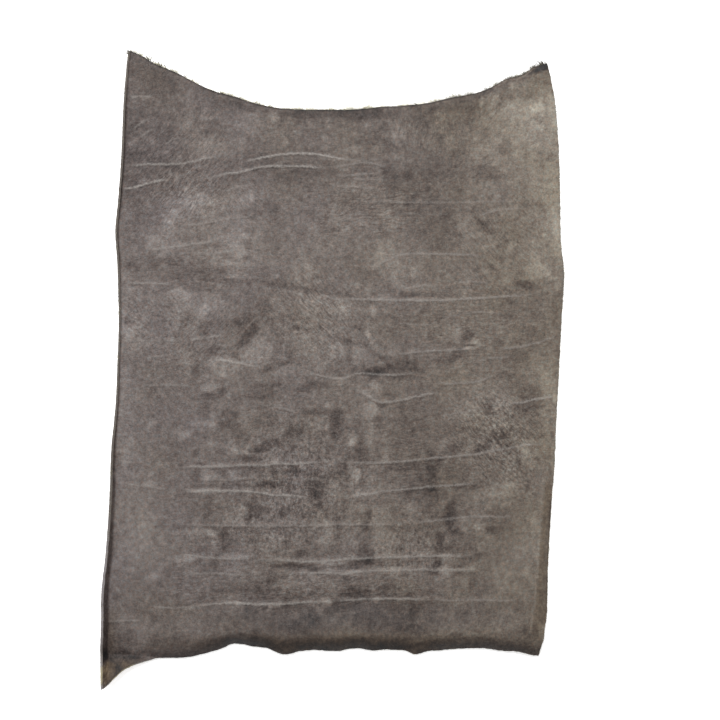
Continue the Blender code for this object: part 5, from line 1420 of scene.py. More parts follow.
def flesh_faces(hide, numbers, kept_rows, kept_columns):
    """Faces of the flesh side, and their places on the bake map."""
    flat = (hide.flesh[..., :2] + BAKE_CORNER) * FLESH_SCALE + FLESH_AT
    faces, places = [], []
    for row, next_row in zip(kept_rows, kept_rows[1:]):
        for column, next_column in zip(kept_columns, kept_columns[1:]):
            ring = cell_ring(row, next_row, column, next_column, hide.rows, hide.columns)
            faces.append([numbers[place] for place in ring])
            places.extend(flat[place] for place in ring)
    return faces, np.array(places)


def hide_mesh(hide):
    """The closed mesh: grain, cut face and flesh, with its bake map and the grain's fields."""
    numbers = np.arange(hide.rows * hide.columns).reshape(hide.rows, hide.columns)
    grain_faces = grid_quads(hide.rows, hide.columns)
    grain_map = ((hide.flat + BAKE_CORNER) * BAKE_SCALE).reshape(-1, 2)[grain_faces.ravel()]

    rings = hide.rim_rings()
    ring_size = len(hide.ring)
    ring_starts = [numbers.size + i * ring_size for i in range(len(rings) + 1)]
    flesh_number, *kept = numbered_flesh(hide, ring_starts[-1])
    levels = [hide.at_ring(numbers)]
    levels += [start + np.arange(ring_size) for start in ring_starts[:-1]]
    levels += [hide.at_ring(flesh_number)]
    rim_faces, rim_map = rim_strips(levels, hide)
    under_faces, under_map = flesh_faces(hide, flesh_number, *kept)

    points = np.vstack([hide.grain.reshape(-1, 3), *rings, hide.flesh[flesh_number >= 0]])
    faces = [*grain_faces.tolist(), *rim_faces, *under_faces]
    mesh = bpy.data.meshes.new("hide_skin")
    mesh.from_pydata((points * METRES).tolist(), [], faces)
    counts = (len(grain_faces), len(rim_faces), len(under_faces))
    slots = np.repeat((GRAIN_SLOT, CUT_SLOT, FLESH_SLOT), counts)
    mesh.polygons.foreach_set("material_index", slots)
    uv = mesh.uv_layers.new(name="OFBake")
    corner_maps = np.vstack([grain_map, rim_map, under_map])
    uv.uv.foreach_set("vector", corner_maps.astype(np.float32).ravel())
    write_fields(mesh, hide, levels, flesh_number)
    mesh.shade_smooth()
    mesh.set_sharp_from_angle(angle=SHARP_ANGLE)
    return mesh


def rim_strips(levels, hide):
    """Faces of the cut face, and their places on the bake map: a strip for each side."""
    steps = hide.ring_steps()
    depths = np.array(LEVEL_DEPTHS)
    faces, places = [], []
    for side, (start, end) in enumerate(hide.ring_sides()):
        run = np.concatenate([[0], np.cumsum(steps[start:end])]) * BAKE_SCALE + RIM_FOOT
        across = RIM_AT + RIM_PITCH * side + RIM_WIDTH * depths
        for band in range(len(levels) - 1):
            upper, lower = levels[band], levels[band + 1]
            left, right = across[band], across[band + 1]
            for i in range(start, end):
                after = (i + 1) % len(steps)
                near, far = run[i - start], run[i - start + 1]
                faces.append([lower[i], lower[after], upper[after], upper[i]])
                places.extend([(right, near), (right, far), (left, far), (left, near)])
    return faces, np.array(places)


def write_field(mesh, name, values):
    """A number or a vector for each point, as an attribute that the shaders read."""
    is_number = values.ndim == 1
    field = mesh.attributes.new(name, "FLOAT" if is_number else "FLOAT_VECTOR", "POINT")
    key = "value" if is_number else "vector"
    field.data.foreach_set(key, np.ascontiguousarray(values, np.float32).ravel())


def write_fields(mesh, hide, levels, flesh_number):
    """The grain's fields as attributes. The cut face takes its nearest grain point's values."""
    count = len(mesh.vertices)
    source = np.zeros(count, int)
    grain_count = hide.rows * hide.columns
    source[:grain_count] = np.arange(grain_count)
    depth = np.zeros(count)
    for numbers, level_depth in zip(levels[1:], LEVEL_DEPTHS[1:]):
        source[numbers] = levels[0]
        depth[numbers] = level_depth
    inner = flesh_number >= 0
    source[flesh_number[inner]] = np.nonzero(inner.ravel())[0]
    write_field(mesh, "depth", depth)
    for name in ("tone", "shade", "warmth", "brown_and_bounce", "lit_cut"):
        write_field(mesh, name, getattr(hide, name).ravel()[source])
    for name, values in hide.masks.items():
        write_field(mesh, name, values.ravel()[source])
    flat = np.dstack([hide.flat, np.zeros(hide.flat.shape[:2])])
    vectors = {"flat": flat, "mark_offset": hide.mark_offset, "mark_strength": hide.mark_strength}
    for name, values in vectors.items():
        write_field(mesh, name, values.reshape(-1, 3)[source])


# ---- Shader building ----------------------------------------------------------------------------

# Each use of a noise reads another part of it, this far on for each unit of its seed.
SEED_SHIFT = (317.0, 211.0)
MIX_UNDER, MIX_OVER, MIX_RESULT = 6, 7, 2  # a colour mix's own inputs and output
# Tones are charted as the eye sees them, and light is linear: one power for each of red, green
# and blue. Red's is the lowest, so dark places stay a warm brown and worn ones turn grey.
TONE_POWERS = (1.95, 2.2, 2.28)


class Shader:
    """A material's nodes, wired with a call for each node."""

    def __init__(self, name):
        self.material = bpy.data.materials.new(name)
        self.material.use_nodes = True
        self.nodes = self.material.node_tree.nodes
        self.links = self.material.node_tree.links
        self.surface = self.nodes["Principled BSDF"]

    def put(self, socket, value):
        """Links a socket into another, or sets the other's own value."""
        if isinstance(value, bpy.types.NodeSocket):
            self.links.new(value, socket)
        else:
            socket.default_value = value

    def node(self, kind, inputs=(), **settings):
        """A new node, with its inputs and its settings."""
        made = self.nodes.new("ShaderNode" + kind)
        for name, value in settings.items():
            setattr(made, name, value)
        for name, value in dict(inputs).items():
            self.put(made.inputs[name], value)
        return made

    def field(self, name, output="Fac"):
        """One of the mesh's own fields: a number, or a vector where the output says so."""
        return self.node("Attribute", attribute_name=name).outputs[output]

    def place(self):
        """Places along the leather, in millimetres."""
        return self.field("flat", "Vector")

    def math(self, operation, *values):
        return self.node("Math", dict(enumerate(values)), operation=operation).outputs[0]

    def add(self, *values):
        total = values[0]
        for value in values[1:]:
            total = self.math("ADD", total, value)
        return total

    def times(self, *values):
        product = values[0]
        for value in values[1:]:
            product = self.math("MULTIPLY", product, value)
        return product

    def bell(self, value, fade):
        """1 where the value is 0, falling off to both sides."""
        return self.math("EXPONENT", self.times(self.math("POWER", value, 2.0), fade))

    def remap(self, value, low, high, to_low=0.0, to_high=1.0):
        """A smooth rise or fall between two values."""
        inputs = {0: value, 1: low, 2: high, 3: to_low, 4: to_high}
        return self.node("MapRange", inputs, interpolation_type="SMOOTHSTEP").outputs[0]

    def turned(self, at, degrees, length, width):
        """Coordinates in which one unit is `length` along a direction and `width` across it."""
        inputs = {
            "Vector": at,
            "Rotation": (0, 0, math.radians(degrees)),
            "Scale": (length, width, 1),
        }
        return self.node("Mapping", inputs, vector_type="TEXTURE").outputs[0]

    def shifted(self, at, seed):
        """The same coordinates, moved to a part of the noise that nothing else uses."""
        inputs = {0: at, 1: (SEED_SHIFT[0] * seed, SEED_SHIFT[1] * seed, 0)}
        return self.node("VectorMath", inputs, operation="ADD").outputs[0]

    def noise(self, at, size, detail, roughness, seed=0, dimensions="2D"):
        """Noise about its middle value, roughly -0.5 to 0.5, with humps about `size` across."""
        inputs = {"Vector": self.shifted(at, seed), "Scale": 1 / size, "Detail": detail}
        inputs["Roughness"] = roughness
        made = self.node("TexNoise", inputs, noise_dimensions=dimensions)
        return self.math("SUBTRACT", made.outputs[0], 0.5)

    def swirled(self, at, size, reach, seed):
        """Coordinates that wander by up to `reach`, with humps about `size` across."""
        inputs = {"Vector": self.shifted(at, seed), "Scale": 1 / size, "Detail": 1.0}
        wander = self.node("TexNoise", inputs, noise_dimensions="2D").outputs["Color"]
        inputs = {0: wander, 1: (2 * reach, 2 * reach, 0), 2: at}
        return self.node("VectorMath", inputs, operation="MULTIPLY_ADD").outputs[0]

    def wires(self, level, middle, width):
        """Thin lines where a noise crosses a middle value: 1 on them, 0 off them."""
        off = self.math("ABSOLUTE", self.math("SUBTRACT", level, middle))
        return self.remap(off, 0.0, width, 1.0, 0.0)

    def cells(self, at, size, seed=0):
        """Distance from the nearest of many scattered points, in units of their spacing."""
        inputs = {"Vector": self.shifted(at, seed), "Scale": 1 / size}
        return self.node("TexVoronoi", inputs, voronoi_dimensions="2D").outputs["Distance"]

    def cell_bounds(self, at, size, seed):
        """Distance from the bounds between such cells."""
        inputs = {"Vector": self.shifted(at, seed), "Scale": 1 / size}
        settings = {"voronoi_dimensions": "2D", "feature": "DISTANCE_TO_EDGE"}
        return self.node("TexVoronoi", inputs, **settings).outputs["Distance"]

    def pattern(self, name):
        """One of the table's noises over the grain, times its weight."""
        size, detail, roughness, seed, weight = PATTERNS[name]
        noise = self.noise(self.place(), size, detail, roughness, seed)
        return self.times(noise, weight)

    def mixed(self, share, under, over, **settings):
        """One colour laid over another. Each is a socket or a plain colour."""
        mix = self.node("Mix", {0: share}, data_type="RGBA", **settings)
        for number, colour in ((MIX_UNDER, under), (MIX_OVER, over)):
            self.put(mix.inputs[number], (*colour, 1) if isinstance(colour, tuple) else colour)
        return mix.outputs[MIX_RESULT]

    def between(self, share, first, second):
        """A colour between two, or past either of them where the share leaves 0 to 1."""
        return self.mixed(share, first, second, clamp_factor=False)

    def multiplied(self, colour, factor):
        return self.mixed(1.0, colour, factor, blend_type="MULTIPLY")

    def toned(self, colour, tone):
        """A colour made lighter or darker by a tone, with a power of the tone for each channel."""
        factors = {i: self.math("POWER", tone, power) for i, power in enumerate(TONE_POWERS)}
        return self.multiplied(colour, self.node("CombineColor", factors).outputs[0])

    def bump(self, height):
        """A normal that is bent by a height in millimetres."""
        inputs = {"Height": height, "Distance": METRES, "Strength": 1.0}
        return self.node("Bump", inputs).outputs[0]

    def dress(self, **inputs):
        """Sets the surface's inputs, written with underscores for their spaces."""
        for name, value in inputs.items():
            self.put(self.surface.inputs[name.replace("_", " ")], value)


GRAIN_WARM = (0.1231, 0.0984, 0.0713)  # towards olive
GRAIN_COOL = (0.1091, 0.0904, 0.0893)  # towards violet
# The right strip's own brown, and painted warm bounce light at the lower left corner and lower edge:
GRAIN_BROWN_AND_BOUNCE = (0.078, 0.052, 0.030)
GRAIN_FROST = (0.262, 0.240, 0.222)  # worn places and scars, where the dye has gone
FLECK_RED = (1.03, 0.99, 0.97)  # small flecks that turn the colour a little either way
FLECK_GREEN = (0.97, 1.01, 1.03)

# Noises over the grain, each with its hump size in millimetres, detail, roughness, seed and weight.
PATTERNS = {
    "broad": (60.0, 3.0, 0.8, 4, 0.16),
    "clouds": (13.0, 3.0, 0.9, 16, 0.85),
    "fine": (5.0, 2.0, 0.9, 5, 0.42),
    "blotches": (9.0, 3.0, 0.9, 6, 1.5),
    "unevenness": (12.0, 3.0, 0.9, 17, 1.6),  # of the charted tones
    "hue": (75.0, 2.0, 0.5, 14, 0.5),
    "flecks": (5.0, 3.0, 0.9, 13, 9.0),
    "wear": (34.0, 2.0, 0.8, 18, 0.35),
    "specks": (4.2, 2.0, 0.9, 19, 1.0),
    "gloss": (20.0, 3.0, 0.7, 15, 0.40),
    "relief": (5.0, 3.0, 0.8, 12, 0.75),
    "mark wander": (6.0, 2.0, 0.8, 1, 4.5),
    "mark breaks": (5.0, 3.0, 1.0, 2, 1.0),
    "crack breaks": (9.0, 2.0, 0.8, 32, 1.0),
    "wrinkle breaks": (14.0, 2.0, 0.9, 42, 1.0),
}

# A growth mark across its run: how fast its pale core and its dark side fade, and how far below
# the core the dark side lies. The dark side is a furrow, painted in shade.
MARK_CORE_FADE = -0.30
MARK_SIDE_FADE = -0.20
MARK_SIDE_OFFSET = 3.8
MARK_BREAKS = (-0.20, 0.20, 0.35, 1.15)  # from, to in its noise, and the mark's least and most there


def mark_lines(shader):
    """The growth marks: pale threads, each with a fine furrow painted in shade, broken up along its
    run.
    """
    offsets = shader.node("SeparateXYZ", {0: shader.field("mark_offset", "Vector")}).outputs
    strengths = shader.node("SeparateXYZ", {0: shader.field("mark_strength", "Vector")}).outputs
    wander = shader.pattern("mark wander")
    pale, dark = 0.0, 0.0
    for offset, strength in zip(offsets, strengths):
        moved = shader.add(offset, wander)
        core = shader.bell(moved, MARK_CORE_FADE)
        side = shader.bell(shader.add(moved, MARK_SIDE_OFFSET), MARK_SIDE_FADE)
        pale = shader.add(pale, shader.times(core, strength))
        dark = shader.add(dark, shader.times(side, strength))
    breaks = shader.remap(shader.pattern("mark breaks"), *MARK_BREAKS)
    return shader.times(pale, breaks), dark


STROKE_SWIRL = (34.0, 6.0, 20)  # size, reach, seed
STROKE_LENGTH, STROKE_WIDTH = 17.0, 2.7
STROKE_NOISE = (1.0, 2.0, 0.7)  # size, detail, roughness
STROKE_SEED = 21


def threads(shader, at):
    """Fine fibrous strokes in each place's own directions, about -0.5 to 0.5 where they're full."""
    swirled = shader.swirled(at, *STROKE_SWIRL)
    total = 0.0
    for seed, (name, degrees) in enumerate(STROKE_DEGREES.items(), start=STROKE_SEED):
        lengthened = shader.turned(swirled, degrees, STROKE_LENGTH, STROKE_WIDTH)
        strokes = shader.noise(lengthened, *STROKE_NOISE, seed=seed)
        total = shader.add(total, shader.times(strokes, shader.field(name)))
    return total


WRINKLE_SWIRL = (26.0, 12.0, 40)  # size, reach, seed
WRINKLE_STRETCH = (12, 1.5, 0.8)  # degrees, along, across
WRINKLE_NOISE = (15.0, 2.0, 0.6, 41)  # size, detail, roughness, seed
PALE_WRINKLES = (0.0, 0.022)  # the noise's level on the lines, and how far off it they end
DARK_WRINKLES = (0.030, 0.020)
DARK_WRINKLE_SHARE = -0.7
WRINKLE_BREAKS = (0.0, 0.22)  # from, to in its noise


def wrinkles(shader, at):
    """Fine curved wrinkles, pale with a dark side, in broken lengths: about -0.7 to 1."""
    swirled = shader.swirled(at, *WRINKLE_SWIRL)
    level = shader.noise(shader.turned(swirled, *WRINKLE_STRETCH), *WRINKLE_NOISE)
    pale = shader.wires(level, *PALE_WRINKLES)
    dark = shader.wires(level, *DARK_WRINKLES)
    lines = shader.add(pale, shader.times(dark, DARK_WRINKLE_SHARE))
    return shader.times(lines, shader.remap(shader.pattern("wrinkle breaks"), *WRINKLE_BREAKS))


CRACK_SWIRL = (6.0, 3.0, 30)  # size, reach, seed
CRACK_CELLS = (8.5, 31)  # size, seed
CRACK_WIDTHS = (0.02, 0.10)  # full and gone, in cells
CRACK_BREAKS = (-0.05, 0.20)


def cracks(shader, at):
    """Short fine dark lines, 1 on them, along the bounds of uneven cells."""
    bounds = shader.cell_bounds(shader.swirled(at, *CRACK_SWIRL), *CRACK_CELLS)
    lines = shader.remap(bounds, *CRACK_WIDTHS, 1.0, 0.0)
    return shader.times(lines, shader.remap(shader.pattern("crack breaks"), *CRACK_BREAKS))


PEBBLE_SIZE = 6.2
PEBBLE_STRETCH = (-50, 1.35, 0.8)  # degrees, along, across


def pebble_gaps(shader, at):
    """0 in the middle of each pebble, rising to its rim. The pebbles are longer down to the right."""
    return shader.cells(shader.turned(at, *PEBBLE_STRETCH), PEBBLE_SIZE)


# What each thing does to the grain's tone.
MEAN_TONE = 0.96
LEAST_TONE = 0.12
# Pebbles painted lighter on their tops and in shade in the gaps between them:
PEBBLE_PAINTED_LIGHT_AND_SHADE = 0.50
PEBBLE_LEVEL = 0.42  # the distance in a pebble at which it changes from pale to dark
STROKE_TONE = 0.80
PEBBLED_SMOOTHING = 0.55  # the share of the strokes that pebbles take away
WRINKLE_TONE = 0.13
CRACK_TONE = -0.16
CRACKS_ANYWHERE, CRACKS_IN_MOTTLED, CRACKS_IN_PEBBLED = 0.25, 0.5, 0.9
# Painted shade along each mark's furrow:
MARK_SIDE_PAINTED_SHADE = -0.15


def grain_tone(shader, strokes, dark):
    """How light the dyed grain is at each place, 1 on average: chart, noise, strokes, marks, and
    painted light and shade.
    """
    at = shader.place()
    mottled, pebbled = shader.field("mottled"), shader.field("pebbled")
    coarse = shader.field("coarse")
    fine = shader.times(shader.pattern("fine"), coarse)
    blotches = shader.times(shader.pattern("blotches"), mottled)
    chart = shader.times(shader.field("tone"), shader.add(1.0, shader.pattern("unevenness")))
    pebbles = shader.math("SUBTRACT", PEBBLE_LEVEL, pebble_gaps(shader, at))
    pebbles = shader.times(pebbles, pebbled, PEBBLE_PAINTED_LIGHT_AND_SHADE)
    smoothed = shader.math("SUBTRACT", 1.0, shader.times(pebbled, PEBBLED_SMOOTHING))
    strokes = shader.times(strokes, coarse, smoothed, STROKE_TONE)
    creased = shader.times(wrinkles(shader, at), coarse, WRINKLE_TONE)
    mottled_cracks = shader.times(mottled, CRACKS_IN_MOTTLED)
    pebbled_cracks = shader.times(pebbled, CRACKS_IN_PEBBLED)
    crackle = shader.add(CRACKS_ANYWHERE, mottled_cracks, pebbled_cracks)
    crackle = shader.times(cracks(shader, at), crackle, CRACK_TONE)
    noises = shader.add(shader.pattern("broad"), shader.pattern("clouds"), fine, blotches)
    lines = shader.add(strokes, creased, pebbles, crackle, shader.times(dark, MARK_SIDE_PAINTED_SHADE))
    return shader.add(MEAN_TONE, chart, noises, lines, shader.field("shade"))


WORN_TONES = (-0.02, 0.20, 0.10, 1.0)  # from, to, least worn, most worn
SPECK_LEVELS = (0.05, 0.28)
DASH_LEVELS = (0.09, 0.30)
SPECK_FROST = 0.45
DASH_FROST = 0.60
MARK_FROST = 0.80
MOST_FROST = 0.9


def frost(shader, strokes, pale):
    """How far the dye has gone: along the scars, and in specks and strokes where it's worn."""
    worn = shader.add(shader.field("tone"), shader.pattern("wear"))
    worn = shader.remap(worn, *WORN_TONES)
    specks = shader.remap(shader.pattern("specks"), *SPECK_LEVELS)
    dashes = shader.remap(strokes, *DASH_LEVELS)
    scuffs = shader.add(shader.times(specks, SPECK_FROST), shader.times(dashes, DASH_FROST))
    scuffs = shader.times(scuffs, worn, shader.field("coarse"))
    lines = shader.times(pale, MARK_FROST)
    return shader.math("MINIMUM", shader.add(scuffs, lines), MOST_FROST)


# Heights on the grain, in millimetres.
PORE_SIZE, PORE_SEED, PORE_DEPTH = 1.7, 3, -0.10
CRACK_DEPTH = -0.20
PEBBLE_DEPTH = -1.7
MARK_HEIGHT = 0.25
MARK_SIDE_DEPTH = -0.15


def grain_bump(shader, pale, dark):
    """Hair-cell grain, pebbles and the marks' welts, as a bent normal."""
    at = shader.place()
    pores = shader.times(shader.cells(at, PORE_SIZE, PORE_SEED), PORE_DEPTH)
    fine = shader.times(shader.pattern("relief"), shader.field("coarse"))
    crackle = shader.times(cracks(shader, at), CRACK_DEPTH)
    pebbles = shader.times(pebble_gaps(shader, at), shader.field("pebbled"), PEBBLE_DEPTH)
    welts = shader.add(shader.times(pale, MARK_HEIGHT), shader.times(dark, MARK_SIDE_DEPTH))
    return shader.bump(shader.add(pores, fine, crackle, pebbles, welts))


LEAST_WARMTH = 0.25
WARMTH_SHARE = 0.5
MEAN_FLECK = 0.5
GRAIN_ROUGHNESS = 0.60
GRAIN_SPECULAR = 0.4


def grain_colour(shader):
    """The dye's own hue, before its tone: violet or olive grey, flecked, brown in places, and browner
    with painted bounce light.
    """
    warmth = shader.times(shader.field("warmth"), WARMTH_SHARE)
    tint = shader.add(LEAST_WARMTH, shader.pattern("hue"), warmth)
    flecks = shader.add(MEAN_FLECK, shader.pattern("flecks"))
    flecks = shader.between(flecks, FLECK_GREEN, FLECK_RED)
    colour = shader.multiplied(shader.between(tint, GRAIN_COOL, GRAIN_WARM), flecks)
    return shader.mixed(shader.field("brown_and_bounce"), colour, GRAIN_BROWN_AND_BOUNCE)


def grain_material():
    shader = Shader("grain")
    pale, dark = mark_lines(shader)
    strokes = threads(shader, shader.place())
    tone = shader.math("MAXIMUM", grain_tone(shader, strokes, dark), LEAST_TONE)
    dyed = shader.toned(grain_colour(shader), tone)
    shader.dress(
        Base_Color=shader.mixed(frost(shader, strokes, pale), dyed, GRAIN_FROST),
        Roughness=shader.add(GRAIN_ROUGHNESS, shader.pattern("gloss")),
        Specular_IOR_Level=GRAIN_SPECULAR,
        Normal=grain_bump(shader, pale, dark),
    )
    return shader.material


CUT_PALE = (0.235, 0.215, 0.225)
CUT_TAN = (0.34, 0.29, 0.17)
CUT_DARK = (0.075, 0.062, 0.050)
TAN_FROM_WARMTH = (0.55, 1.15)  # the cut face turns tan between these levels of warmth
CUT_FIBRES = (1.6, 3.0, 0.7)  # size, detail, roughness
CUT_FIBRE_LEVELS = (-0.3, 0.3, 0.55, 1.0)  # from, to, darkest, palest
CUT_SKIN = (0.0, 0.16)  # the dark skin under the grain fades out between these depths
# The stained sides are all but the lit cuts, and their dark core is painted shade as well as stain.
CUT_STAIN_AND_SHADE = 0.16  # how pale the core is on the stained sides
CUT_ROUGHNESS = 0.9
CUT_RELIEF = 0.5
MILLIMETRES = (1000, 1000, 1000)  # in a metre, on each axis


def cut_material():
    """The raw cut face: pale fibrous core under a thin dark skin of grain, stained and in painted
    shade on most sides, and painted paler where it turns to the lamp.
    """
    shader = Shader("cut_edge")
    at = shader.node("TexCoord").outputs["Object"]
    at = shader.node("VectorMath", {0: at, 1: MILLIMETRES}, operation="MULTIPLY").outputs[0]
    fibres = shader.noise(at, *CUT_FIBRES, dimensions="3D")
    core = shader.remap(shader.field("depth"), *CUT_SKIN)
    stain_shade_and_light = shader.add(CUT_STAIN_AND_SHADE, shader.times(shader.field("lit_cut"), 1 - CUT_STAIN_AND_SHADE))
    share = shader.times(core, stain_shade_and_light, shader.remap(fibres, *CUT_FIBRE_LEVELS))
    # Warmth and painted bounce light turn the cut face tan.
    tan_and_bounce = shader.add(shader.field("warmth"), shader.field("brown_and_bounce"))
    raw = shader.between(shader.remap(tan_and_bounce, *TAN_FROM_WARMTH), CUT_PALE, CUT_TAN)
    shader.dress(
        Base_Color=shader.mixed(share, CUT_DARK, raw),
        Roughness=CUT_ROUGHNESS,
        Normal=shader.bump(shader.times(fibres, CUT_RELIEF)),
    )
    return shader.material


FLESH_PALE = (0.32, 0.27, 0.22)
FLESH_DARK = (0.20, 0.16, 0.13)
NAP_STRETCH = (20, 3.0, 1.0)  # degrees, along, across
NAP_NOISE = (2.0, 4.0, 0.7)  # size, detail, roughness
FLESH_CLOUDS = (60.0, 3.0, 0.6)
FLESH_LEVELS = (-0.4, 0.4)
FLESH_ROUGHNESS = 0.95
NAP_RELIEF = 0.4


def flesh_material():
    """The flesh side: napped, matt and browner."""
    shader = Shader("flesh")
    at = shader.place()
    nap = shader.noise(shader.turned(at, *NAP_STRETCH), *NAP_NOISE)
    share = shader.remap(shader.add(nap, shader.noise(at, *FLESH_CLOUDS)), *FLESH_LEVELS)
    shader.dress(
        Base_Color=shader.between(share, FLESH_DARK, FLESH_PALE),
        Roughness=FLESH_ROUGHNESS,
        Normal=shader.bump(shader.times(nap, NAP_RELIEF)),
    )
    return shader.material


# ---- Loose fibres along the cut edge ------------------------------------------------------------

FIBRE_SIDES = 3
EDGE_SEGMENTS, TUFT_SEGMENTS = 2, 5
FIBRE_SEED = 5

# Each side's fibres, going round from the lower side: how many for each millimetre, the longest,
# the radius, and the share of them that is dark.
SIDE_FIBRES = {
    "lower": (2.6, 2.6, 0.12, 0.5),
    "right": (3.0, 2.6, 0.12, 0.25),
    "upper": (5.5, 8.0, 0.12, 0.12),
    "left": (2.6, 2.8, 0.12, 0.7),
}
# Painted shade on the upper edge's fibres, towards its right end:
SHADED_UPPER_FIBRES = 0.7  # the dark share grows by this towards the upper side's right end,
UPPER_FIBRES_DARKEN = (110, 230)  # between these places along X
EDGE_LENGTHS = (0.25, 1)  # shares of the longest
EDGE_RADII = (0.7, 1.3)  # shares of the side's radius
EDGE_DARKNESSES = (0.5, 1)  # of the dark ones
CLUMP_SIZE, CLUMP_SEED = 6, 51
CLUMP_NUMBERS = (0.35, 1.3)  # the share of the fibres between clumps, and how much more in one
CLUMP_LENGTHS = (0.5, 0.9)

# Tufts: place on the edge, spread along it, how many fibres, their length, their radius, and the
# way that they lean, in degrees anticlockwise from +X. The thickest ones are twisted wisps.
TUFTS = (
    (-269, 456, 0.5, 3, 8, 0.80, 95),
    (-263, 452, 0.6, 4, 8, 0.80, 105),
    (-252, 448, 2.2, 10, 7, 0.80, 80),
    (-242, 444, 0.6, 4, 10, 0.85, 100),
    (-214, 431, 0.4, 2, 8, 0.70, 85),
    (-301, 470, 3, 9, 7, 0.36, 110),
    (-305, 466, 2, 5, 9, 0.55, 165),
    (-305, 408, 3, 5, 4, 0.36, 180),
    (228, 414, 1.5, 7, 8, 0.42, 100),
    (208, 408, 1.5, 5, 6, 0.40, 95),
    (185, 403, 3, 6, 5, 0.36, 80),
    (128, 391, 1.5, 6, 7, 0.40, 110),
    (262, 431, 8, 22, 4, 0.30, 100),
    (283, 437, 9, 34, 5, 0.32, 95),
    (299, 446, 8, 40, 6, 0.34, 105),
    (312, 451, 5, 30, 7, 0.34, 110),
    (310, 452, 0.5, 2, 13, 0.75, 105),
    (-308, 300, 14, 10, 4, 0.26, 180),
    (-313, 250, 10, 10, 4, 0.26, 180),
    (-316, 110, 16, 12, 4, 0.26, 180),
    (340, 110, 30, 20, 4, 0.24, 0),
    (333, 330, 40, 20, 4, 0.24, 0),
)
TUFT_DARKNESS = 0.9
TUFT_SPREAD = 16  # degrees to either side of its lean
TUFT_LENGTHS = (0.4, 1)
TUFT_RADII = (0.7, 1.2)

FIBRE_DEPTHS = (0.03, 0.97)  # where on the cut face a fibre may start, from grain to flesh
FIBRE_ROOT = 0.4  # how far inside the leather it starts
FIBRE_SIDEWAYS = 0.9  # how far it may lean along the edge
FIBRE_RISE = (0.1, 0.35)  # its usual rise, and how much that varies
FIBRE_CURL = 0.55
FIBRE_SAG = (0, 0, -0.15)
FIBRE_TAPER = 0.5
FIBRE_LEAST_HEIGHT = 0.12  # over the floor
ACROSS_FIBRES = (0.3, 0.2, 1.0)  # any direction that no fibre runs in

Fibre = namedtuple("Fibre", "place share lean length radius darkness segments")


def fibre_points(base, direction, curl, fibre):
    """Rings of a tapered, bent strand, ending in a point."""
    points = []
    for step in range(fibre.segments + 1):
        t = step / fibre.segments
        centre = base + fibre.length * (direction * t + curl * t * t)
        heading = unit(direction + 2 * curl * t)
        if step == fibre.segments:
            points.append(centre[None])
            break
        side = unit(np.cross(heading, ACROSS_FIBRES))
        other = np.cross(heading, side)
        turns = 2 * math.pi * np.arange(FIBRE_SIDES) / FIBRE_SIDES
        ring = np.cos(turns)[:, None] * side + np.sin(turns)[:, None] * other
        points.append(centre + ring * fibre.radius * (1 - FIBRE_TAPER * t))
    return np.vstack(points)


def fibre_faces(segments):
    """A strand's faces. Its root is open, inside the leather."""
    faces = []
    for ring in range(segments - 1):
        for i in range(FIBRE_SIDES):
            after = (i + 1) % FIBRE_SIDES
            low, high = ring * FIBRE_SIDES, (ring + 1) * FIBRE_SIDES
            faces.append((low + i, low + after, high + after, high + i))
    last, tip = (segments - 1) * FIBRE_SIDES, segments * FIBRE_SIDES
    faces.extend((last + i, last + (i + 1) % FIBRE_SIDES, tip) for i in range(FIBRE_SIDES))
    return faces


def edge_fibres(hide, rng):
    """The short fibres all along the cut edge, in clumps."""
    edge = hide.at_ring(hide.grain)
    steps = hide.ring_steps()
    clumps = 0.5 + 0.5 * waves(edge[:, 0], edge[:, 1], CLUMP_SIZE, CLUMP_SEED)
    numbers = CLUMP_NUMBERS[0] + CLUMP_NUMBERS[1] * clumps
    lengths = CLUMP_LENGTHS[0] + CLUMP_LENGTHS[1] * clumps
    for (side, row), (start, end) in zip(SIDE_FIBRES.items(), hide.ring_sides()):
        density, longest, radius, dark_share = row
        for i in range(start, end):
            darker = SHADED_UPPER_FIBRES * ramp(*UPPER_FIBRES_DARKEN, edge[i, 0])
            for _ in range(rng.poisson(density * steps[i] * numbers[i])):
                length = longest * rng.uniform(*EDGE_LENGTHS) * lengths[i]
                share = dark_share + (darker if side == "upper" else 0)
                dark = float(rng.random() < share) * rng.uniform(*EDGE_DARKNESSES)
                own_radius = radius * rng.uniform(*EDGE_RADII)
                yield Fibre(i, rng.random(), None, length, own_radius, dark, EDGE_SEGMENTS)


def tuft_fibres(hide, rng):
    """The longer fibres of the tufts, each from the point of the edge that is nearest to it."""
    edge = hide.at_ring(hide.grain)
    for x, y, spread, count, longest, radius, degrees in TUFTS:
        for _ in range(count):
            near = np.array([x, y]) + rng.normal(0, spread / 2, 2)
            i = int(np.argmin(np.linalg.norm(edge[:, :2] - near, axis=1)))
            lean = math.radians(degrees + rng.normal(0, TUFT_SPREAD))
            length = longest * rng.uniform(*TUFT_LENGTHS)
            own_radius = radius * rng.uniform(*TUFT_RADII)
            yield Fibre(i, rng.random(), lean, length, own_radius, TUFT_DARKNESS, TUFT_SEGMENTS)


